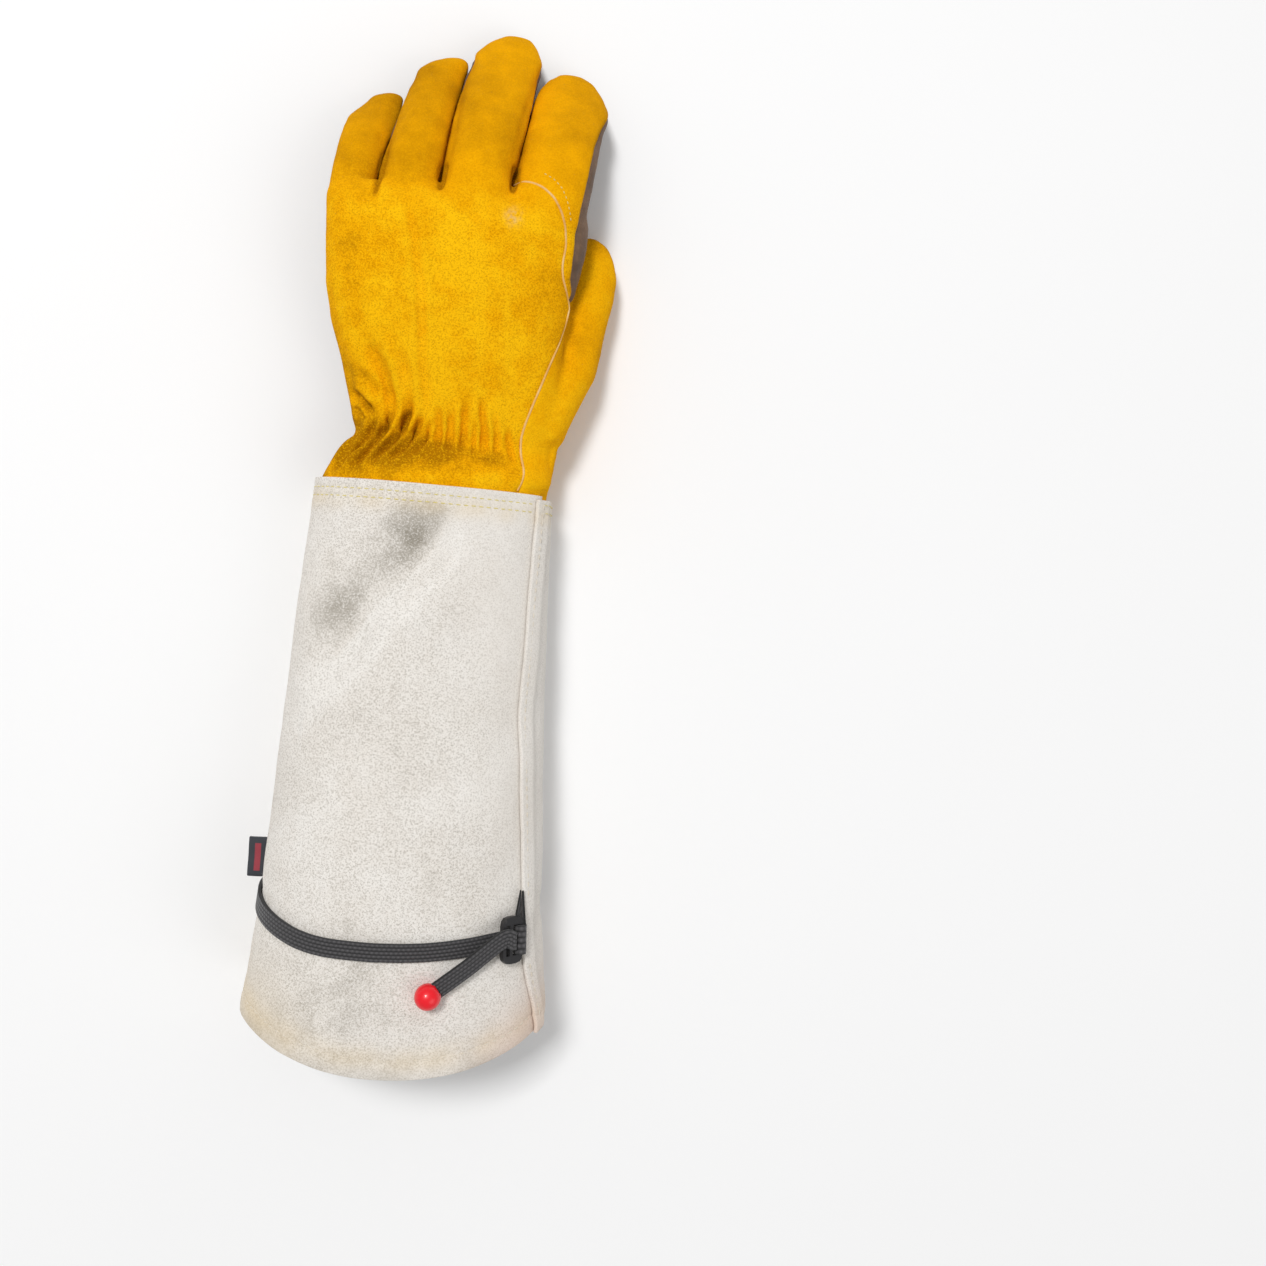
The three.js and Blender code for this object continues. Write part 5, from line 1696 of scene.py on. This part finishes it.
    def drop_inside(self, piece: bpy.types.Object) -> None:
        """Takes away the part of the skin that no straight line from outside reaches."""
        mesh = piece.data
        points, out = coordinates(mesh), normals_of(mesh)
        tree = surface_tree(mesh, points)
        ways = [Vector(way).normalized() for way in self.look_ways]
        hidden = np.ones(len(points), bool)
        for index, (place, normal) in enumerate(zip(points.tolist(), out.tolist())):
            start = Vector(place) + Vector(normal) * 0.05 * MM
            for way in (Vector(normal), *ways):
                if way.dot(Vector(normal)) > 0.05 and tree.ray_cast(start, way)[0] is None:
                    hidden[index] = False
                    break
        bm = bmesh.new()
        bm.from_mesh(mesh)
        bm.verts.ensure_lookup_table()
        bmesh.ops.delete(bm, geom=[v for v in bm.verts if hidden[v.index]], context="VERTS")
        for _ in range(self.trims):
            torn = {v for e in bm.edges if not e.is_manifold and not e.is_boundary for v in e.verts}
            torn |= {v for v in bm.verts if len(v.link_faces) < 2 or sum(e.is_boundary for e in v.link_edges) > 2}
            bmesh.ops.delete(bm, geom=list(torn), context="VERTS")
            self.keep_largest(bm)
            bmesh.ops.holes_fill(bm, edges=[e for e in bm.edges if e.is_boundary], sides=0)
            bmesh.ops.triangulate(bm, faces=[f for f in bm.faces if len(f.verts) > 4])
            if all(e.is_manifold for e in bm.edges):
                break
        LOG.info("hand skin: %d open edges", sum(not e.is_manifold for e in bm.edges))
        bm.to_mesh(mesh)
        bm.free()

    def keep_largest(self, bm: bmesh.types.BMesh) -> None:
        """Leaves only the largest of the skin's separate surfaces."""
        left = set(bm.verts)
        largest: set[bmesh.types.BMVert] = set()
        while left:
            start = left.pop()
            reached, queue = {start}, [start]
            while queue:
                for edge in queue.pop().link_edges:
                    for vert in edge.verts:
                        if vert not in reached:
                            reached.add(vert)
                            queue.append(vert)
            left -= reached
            largest = max(largest, reached, key=len)
        bmesh.ops.delete(bm, geom=[v for v in bm.verts if v not in largest], context="VERTS")

    def relax(self, mesh: bpy.types.Mesh, values: Points, rounds: int, share: float) -> Points:
        """Averages values over the mesh's edges.

        Args:
            mesh: The mesh.
            values: One row for each vertex.
            rounds: How often.
            share: How far each goes to its neighbours' mean.

        Returns:
            The relaxed values.
        """
        edges = np.empty(len(mesh.edges) * 2, np.int32)
        mesh.edges.foreach_get("vertices", edges)
        a, b = edges.reshape(-1, 2).T
        total = len(mesh.vertices)
        degree = np.bincount(a, minlength=total) + np.bincount(b, minlength=total)
        flat = values.reshape(total, -1).astype(float)
        for _ in range(rounds):
            mean = np.empty_like(flat)
            for k in range(flat.shape[1]):
                column = flat[:, k]
                mean[:, k] = np.bincount(a, column[b], total) + np.bincount(b, column[a], total)
            flat = flat + share * (mean / degree[:, None] - flat)
        return flat.reshape(values.shape)

    def measure_seams(self, mesh: bpy.types.Mesh) -> None:
        """Finds how far each vertex is from each panel, to know where the seams run."""
        places = coordinates(mesh)
        away: dict[Panel, Points] = {}
        for panel in Panel:
            tree = surface_tree(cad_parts[panel.value].data)
            away[panel] = np.array([tree.find_nearest(Vector(p))[3] for p in places.tolist()])
        for panel in (Panel.PALM, Panel.THUMB, Panel.INDEX):
            others = np.min([away[p] for p in Panel if p is not panel], axis=0)
            self.fields[panel] = self.relax(mesh, away[panel] - others, 10, 0.5)
        x, y = places[:, 0] - PLAN_X, places[:, 1] - PLAN_Y
        beside = smooth_step(48 * MM, 54 * MM, x) * smooth_step(80 * MM, 95 * MM, y)
        beside *= smooth_step(174 * MM, 160 * MM, y)
        self.fields[Panel.PALM] -= self.palm_strip * beside

    def soften(self, mesh: bpy.types.Mesh) -> Points:
        """Smooths the skin, keeps its fullness and closes the slits between the fingers.

        Args:
            mesh: The skin.

        Returns:
            The new places of its vertices.
        """
        first = coordinates(mesh)
        soft = self.relax(mesh, first, self.smoothing, 0.5)
        set_coordinates(mesh, soft)
        out = normals_of(mesh)
        lost = self.relax(mesh, np.sum((first - soft) * out, axis=1), self.regaining, 0.5)
        points = soft + out * lost[:, None]
        x, y = points[:, 0] - PLAN_X, points[:, 1] - PLAN_Y
        for middle_x, middle_y, radius, shift_x, shift_y in self.tip_shifts:
            away = np.hypot(x - middle_x * MM, y - middle_y * MM) / (radius * MM)
            share = np.exp(-(away**2))
            points[:, 0] += shift_x * MM * share
            points[:, 1] += shift_y * MM * share
        x, y = points[:, 0] - PLAN_X, points[:, 1] - PLAN_Y
        from_slits = np.min([stroke_distance(x, y, root)[0] for root in (*self.slits, *self.slit_roots)], axis=0)
        set_coordinates(mesh, points)
        points = self.close_slits(mesh, points, normals_of(mesh))
        even = self.relax(mesh, points, 150, 0.5)
        knuckles = bell(y, 22 * MM, 132 * MM) * smooth_step(0.5, 0.8, out[:, 2])
        knuckles *= smooth_step(1.5 * MM, 8 * MM, from_slits)
        points[:, 2] += knuckles * (even[:, 2] - points[:, 2])
        return points

    def close_slits(self, mesh: bpy.types.Mesh, points: Points, out: Points) -> Points:
        """Brings the fingers' facing sides together, but for the slits' roots.

        Args:
            mesh: The skin.
            points: Places of its vertices.
            out: Their outward directions.

        Returns:
            The new places.
        """
        tree = surface_tree(mesh, points)
        x, y = points[:, 0] - PLAN_X, points[:, 1] - PLAN_Y
        moved = np.zeros((len(points), 3))
        for start, end in self.slits:
            away, share = stroke_distance(x, y, (start, end))
            line_x = np.interp(y, (start[1] * MM, end[1] * MM), (start[0] * MM, end[0] * MM))
            run = Vector((end[0] - start[0], end[1] - start[1], 0)).normalized()
            across = Vector((run.y, -run.x, 0))
            facing = -np.sign(x - line_x) * (out @ np.array(across[:]))
            near = np.flatnonzero((away < 7 * MM) & (share > 0.02) & (facing > 0.45))
            for index in near.tolist():
                towards = across * float(np.sign(line_x[index] - x[index]))
                place = Vector(points[index])
                hit = tree.ray_cast(place + towards * 0.02 * MM, towards, 7 * MM)
                if hit[0] is None:
                    continue
                rest = self.slit_rest + self.slit_mouth * float(smooth_step(0.3, 0.0, share[index]))
                step = min(max(hit[3] / 2 - rest, 0), 1.3 * MM) * float(smooth_step(0.45, 0.85, facing[index]))
                moved[index] = np.array((towards * step)[:])
        return points + self.relax(mesh, moved, 6, 0.5)

    def blend_roots(self, mesh: bpy.types.Mesh, points: Points) -> Points:
        """Rounds the steps where the fingers' sides run out into the hand's back.

        Args:
            mesh: The skin.
            points: Its places.

        Returns:
            The new places.
        """
        soft = self.relax(mesh, points, self.root_rounds, 0.5)
        x, y = points[:, 0] - PLAN_X, points[:, 1] - PLAN_Y
        weight = np.zeros(len(points))
        for (root_x, root_y), (end_x, end_y) in self.slits:
            side = x - root_x * MM - (y - root_y * MM) * (end_x - root_x) / (end_y - root_y)
            ahead = (y - (root_y + self.root_ahead) * MM) / (self.root_reach * MM)
            weight = np.maximum(weight, np.exp(-((side / (9 * MM)) ** 2) - ahead**2))
        weight *= smooth_step(18 * MM, 30 * MM, points[:, 2])
        return points + weight[:, None] * (soft - points)

    def fold(self, mesh: bpy.types.Mesh) -> None:
        """Works the folds, gathers and seams into the smoothed skin, and keeps the painted shade of the creases'
        valleys and the slit roots' grooves.
        """
        points = self.blend_roots(mesh, self.soften(mesh))
        set_coordinates(mesh, points)
        out = normals_of(mesh)
        x, y = points[:, 0] - PLAN_X, points[:, 1] - PLAN_Y
        on_back = smooth_step(0.1, 0.6, out[:, 2])
        rise = np.zeros(len(points))
        self.painted_valley_shade = np.zeros(len(points))
        for crease in self.creases:
            away, share = stroke_distance(x, y, crease.line)
            ends = smooth_step(0, crease.taper, share) * smooth_step(1, 1 - crease.taper, share)
            wide = crease.wide * MM
            deep = crease.deep * self.fold_deep
            valley = bell(away, wide)
            crest = bell(away, wide, 2.1 * wide)
            rise += deep * MM * ends * (crease.ridge * crest - valley)
            # Painted shade in each crease's valley, painted highlight on its crest.
            self.painted_valley_shade += deep * ends * (0.2 * valley - 0.05 * crest) * on_back
        for root in self.slit_roots:
            away, share = stroke_distance(x, y, root)
            groove = bell(away, 1.15 * MM) * smooth_step(0, 0.25, share)
            beside = bell(away, 3.6 * MM) * smooth_step(0, 0.5, share)
            rise -= (self.slit_deep * groove + 0.35 * MM * beside) * smooth_step(1, 0.8, share)
            # Painted shade in the slit root's groove.
            self.painted_valley_shade += 1.1 * groove * smooth_step(1, 0.8, share)
        roll = 1.5 * MM * bell(y, 5 * MM, 5.5 * MM) * smooth_step(-26 * MM, -8 * MM, x)
        dip = 2.2 * MM * bell(y, 6.5 * MM, 20 * MM) * smooth_step(-34 * MM, -10 * MM, x)
        rise += roll - dip
        rise *= on_back * smooth_step(-1 * MM, 4 * MM, y)
        rise += 0.35 * MM * grain(points, 16 * MM, 2.4) * smooth_step(0, 12 * MM, y)
        rise += 0.16 * MM * grain(points, 5.5 * MM, 7.7) * smooth_step(0, 12 * MM, y)
        for values in self.fields.values():
            rise -= 0.55 * MM * bell(values, 1.5 * MM)
        rise *= smooth_step(0, 3 * MM, points[:, 2])
        points = points + out * rise[:, None]
        points[:, 2] = np.maximum(points[:, 2], 0.05 * MM)
        set_coordinates(mesh, points)

    def tint(self, mesh: bpy.types.Mesh) -> None:
        """Paints where the suede is brighter, darker or scuffed, with painted shade and painted highlight where the
        light falls on the wrist, the sides and the index finger.
        """
        points = coordinates(mesh)
        out = normals_of(mesh)
        x, y = points[:, 0] - PLAN_X, points[:, 1] - PLAN_Y
        tone = 0.3 * grain(points, 38 * MM, 9.1) + 0.2
        # Painted shade in the folds' valleys and the slit grooves.
        tone -= self.painted_valley_shade
        edge = y + 9 * MM * grain(points, 20 * MM, 5.5)
        tone -= 0.68 * smooth_step(112 * MM, 150 * MM, edge)
        # Painted highlight on the index finger's upper part, lighter against its shading.
        tone += 0.2 * smooth_step(28 * MM, 38 * MM, x) * smooth_step(132 * MM, 152 * MM, edge)
        # Painted shade over the wrist's gathers, across the dip above the roll and next to the cuff's edge.
        tone -= 0.95 * bell(y, 22 * MM, 26 * MM) * smooth_step(20 * MM, -30 * MM, x)
        tone -= 1.0 * bell(y, 7 * MM, 16 * MM) * smooth_step(42 * MM, 28 * MM, x)
        tone -= 0.55 * smooth_step(22 * MM, 10 * MM, y) * smooth_step(0 * MM, -30 * MM, x)
        # Painted highlight on the roll just above the cuff.
        tone += 0.25 * bell(y, 4 * MM, 3 * MM)
        # Painted shade on the sides that turn away from the top.
        tone -= 0.3 * smooth_step(0.75, 0.1, out[:, 2])
        tone -= 0.4 * (self.fields[Panel.THUMB] < 0) * smooth_step(40 * MM, 85 * MM, y)
        scuff = np.exp(-(((x - 27 * MM) / (2.7 * MM)) ** 2 + ((y - 122.5 * MM) / (3.2 * MM)) ** 2))
        stained = np.clip(scuff * (0.35 + grain(points, 1.6 * MM, 4.9)), 0, 0.42)
        fine = smooth_step(112 * MM, 150 * MM, edge) * 0.9
        even = np.maximum(fine, (self.fields[Panel.THUMB] < 0) * 0.6)
        paint(mesh, tone, even, stained, np.tile(from_srgb(212, 196, 164), (len(points), 1)))

    def cut(self, piece: bpy.types.Object) -> dict[Panel, bpy.types.Object]:
        """Cuts the skin along its seams into the four panels.

        Args:
            piece: The skin.

        Returns:
            Each panel's piece.
        """
        bm = bmesh.new()
        bm.from_mesh(piece.data)
        bm.verts.ensure_lookup_table()
        layers = {panel: bm.verts.layers.float.new(panel.value) for panel in self.fields}
        rest = bm.verts.layers.float_vector.new("rest")
        for panel, values in self.fields.items():
            for vert, value in zip(bm.verts, values.tolist()):
                vert[layers[panel]] = value
        for vert in bm.verts:
            vert[rest] = vert.co
        for layer in layers.values():
            for vert in bm.verts:
                vert.co = (vert[rest].x, vert[rest].y, vert[layer])
            everything = [*bm.verts, *bm.edges, *bm.faces]
            bmesh.ops.bisect_plane(bm, geom=everything, dist=CUT, plane_co=(0, 0, 0), plane_no=(0, 0, 1))
        for vert in bm.verts:
            vert.co = vert[rest]
        end = (0, PLAN_Y + self.wrist_end + 1 * MM, 0)
        everything = [*bm.verts, *bm.edges, *bm.faces]
        bmesh.ops.bisect_plane(bm, geom=everything, dist=CUT, plane_co=end, plane_no=(0, -1, 0), clear_outer=True)
        made = {}
        owners = [self.owner(face, layers) for face in bm.faces]
        full = bpy.data.meshes.new("cut_skin")
        bm.to_mesh(full)
        bm.free()
        for panel in Panel:
            part = bmesh.new()
            part.from_mesh(full)
            part.faces.ensure_lookup_table()
            strangers = [face for face, owner in zip(part.faces, owners) if owner is not panel]
            bmesh.ops.delete(part, geom=strangers, context="FACES")
            made[panel] = new_object(f"{panel.value}_leather", mesh_from(part, panel.value))
        bpy.data.objects.remove(piece)
        return made

    def owner(self, face: bmesh.types.BMFace, layers: dict[Panel, bmesh.types.BMLayerItem]) -> Panel:
        """The panel that a face of the cut skin belongs to."""
        for panel in (Panel.THUMB, Panel.PALM, Panel.INDEX):
            if sum(vert[layers[panel]] for vert in face.verts) < 0:
                return panel
        return Panel.BACK

    def build(self, wardrobe: Wardrobe) -> None:
        """Makes and dresses the hand.

        Args:
            wardrobe: The materials.
        """
        skin = self.skin()
        LOG.info("hand skin: %d vertices", len(skin.data.vertices))
        self.measure_seams(skin.data)
        self.fold(skin.data)
        self.tint(skin.data)
        tree = surface_tree(skin.data)
        for panel, piece in self.cut(skin).items():
            add_walls(piece, self.wall, -1)
            bake_modifiers(piece)
            if panel is Panel.PALM:
                dress(piece, Slot.PALM, wardrobe.palm, panel.value)
            else:
                dress(piece, Slot.SUEDE, wardrobe.suede, panel.value)
        self.build_welt(tree, wardrobe)

    def build_welt(self, tree: BVHTree, wardrobe: Wardrobe) -> None:
        """Lays the welt along the seam on the back.

        Args:
            tree: The hand's surface.
            wardrobe: The materials.
        """
        corners = np.array(self.back_seam) * MM
        walked = walk(corners)
        at = np.linspace(0, walked[-1], self.welt_steps)
        x = np.interp(at, walked, corners[:, 0]) + PLAN_X
        y = np.interp(at, walked, corners[:, 1]) + PLAN_Y
        places = []
        for px, py in zip(x.tolist(), y.tolist()):
            hit = tree.ray_cast(Vector((px, py, 0.2)), Vector((0, 0, -1)))
            if hit[0] is not None:
                places.append(hit[0])
        line = np.array([p[:] for p in places])
        for _ in range(12):
            line[1:-1] = (line[:-2] + 2 * line[1:-1] + line[2:]) / 4
        curve = bpy.data.curves.new("welt", "CURVE")
        curve.dimensions = "3D"
        curve.bevel_depth = 0.55 * MM
        curve.bevel_resolution = 3
        curve.use_fill_caps = True
        spline = curve.splines.new("POLY")
        spline.points.add(len(line) - 1)
        for point, co in zip(spline.points, line.tolist()):
            point.co = (*co, 1)
        shaped = new_object("welt_curve", curve)
        graph = bpy.context.evaluated_depsgraph_get()
        mesh = bpy.data.meshes.new_from_object(shaped.evaluated_get(graph), depsgraph=graph)
        bpy.data.objects.remove(shaped)
        mesh.name = "seam_welt_strip"
        places = coordinates(mesh)
        add_attribute(mesh, "tone", 0.8 * grain(places, 6 * MM, 3.3))
        piece = new_object("seam_welt_strip", mesh)
        dress(piece, Slot.WELT, wardrobe.welt, "seam_welt")
        self.stitch_knuckle(tree, wardrobe)

    def stitch_knuckle(self, tree: BVHTree, wardrobe: Wardrobe) -> None:
        """Sews the short stitch row outside the seam round the index finger's knuckle.

        Args:
            tree: The hand's surface.
            wardrobe: The materials.
        """
        corners = np.array(self.knuckle_row) * MM
        walked = walk(corners)
        at = np.linspace(0, walked[-1], 120)
        line, out = [], []
        for k in at.tolist():
            x = np.interp(k, walked, corners[:, 0]) + PLAN_X
            y = np.interp(k, walked, corners[:, 1]) + PLAN_Y
            hit = tree.ray_cast(Vector((x, y, 0.2)), Vector((0, 0, -1)))
            if hit[0] is not None:
                line.append(hit[0][:])
                out.append(hit[1][:])
        row = Stitching("knuckle_stitches", length=1.3 * MM, gap=1.1 * MM, thick=0.5 * MM, sunk=0.12 * MM)
        row.lay(np.array(line), np.array(out))
        dress(row.build(), Slot.SUEDE, wardrobe.gold_thread)


# The studio


@dataclass(frozen=True)
class Studio:
    """Floor, lights and the camera at the photograph's angle."""

    eye: tuple[float, float, float] = (1.006, -37.126, 600.0)
    look: tuple[float, float, float] = (0.17349165, -0.04310943, -0.98389137)
    up: tuple[float, float] = (-0.079593, 0.996827)
    focal: float = 1178.0
    picture: float = 1266.0

    def build(self) -> None:
        """Sets the studio up."""
        self.place_camera()
        self.lay_floor()
        self.hang_light("key", (-0.85, 1.1, 2.7), 0.6, 55.0)
        self.hang_light("fill", (1.1, -0.8, 1.4), 1.2, 5.0)
        world = bpy.data.worlds.new("studio")
        bpy.context.scene.world = world
        world.use_nodes = True
        world.node_tree.nodes["Background"].inputs["Color"].default_value = (1, 1, 1, 1)
        world.node_tree.nodes["Background"].inputs["Strength"].default_value = 0.42
        bpy.context.scene.view_settings.view_transform = "Standard"

    def place_camera(self) -> None:
        """Puts the camera where the photograph's was."""
        data = bpy.data.cameras.new("camera")
        data.sensor_fit = "AUTO"
        data.angle = 2 * math.atan(self.picture / 2 / self.focal)
        data.clip_start = 0.01
        camera = new_object("camera", data)
        look = Vector(self.look).normalized()
        up = Vector((*self.up, 0))
        side = look.cross(up).normalized()
        up = side.cross(look).normalized()
        turn = Matrix((side, up, -look)).transposed().to_4x4()
        place = Vector((self.eye[0] * MM + PLAN_X, self.eye[1] * MM + PLAN_Y, self.eye[2] * MM))
        camera.matrix_world = Matrix.Translation(place) @ turn
        bpy.context.scene.camera = camera

    def lay_floor(self) -> None:
        """Lays a plain pale floor."""
        bm = bmesh.new()
        bmesh.ops.create_grid(bm, x_segments=1, y_segments=1, size=6)
        floor = new_object("floor", mesh_from(bm, "floor"))
        set_coordinates(floor.data, coordinates(floor.data) - np.array([0, 0, 0.3 * MM]))
        material, shader = new_material("pale floor")
        mottle = shader.speckle(shader.place(), 3, 2)
        colour = shader.blend(mottle, (0.93, 0.93, 0.93, 1), (0.95, 0.95, 0.95, 1))
        bump = shader.add("ShaderNodeBump", {"Height": mottle, "Strength": 0.02})
        shader.surface(colour, 0.9, bump.outputs[0])
        floor.data.materials.append(material)

    def hang_light(self, name: str, place: tuple[float, float, float], size: float, power: float) -> None:
        """Hangs a soft light that looks at the glove.

        Args:
            name: Its name.
            place: Where it hangs.
            size: Edge of its square.
            power: Its strength, in watts.
        """
        data = bpy.data.lights.new(name, "AREA")
        data.shape = "SQUARE"
        data.size = size
        data.energy = power
        light = new_object(name, data)
        aim = Vector((0, 0, 0.03)) - Vector(place)
        light.matrix_world = Matrix.Translation(place) @ aim.to_track_quat("-Z", "Y").to_matrix().to_4x4()


def main() -> None:
    """Builds every piece in order."""
    logging.basicConfig(level=logging.INFO, format="%(name)s %(message)s")
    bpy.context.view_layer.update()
    wardrobe = fill_wardrobe()
    Studio().build()
    Cuff().build(wardrobe)
    Strap().build(wardrobe)
    Label().build()
    Hand().build(wardrobe)


if __name__ == "__main__":
    main()
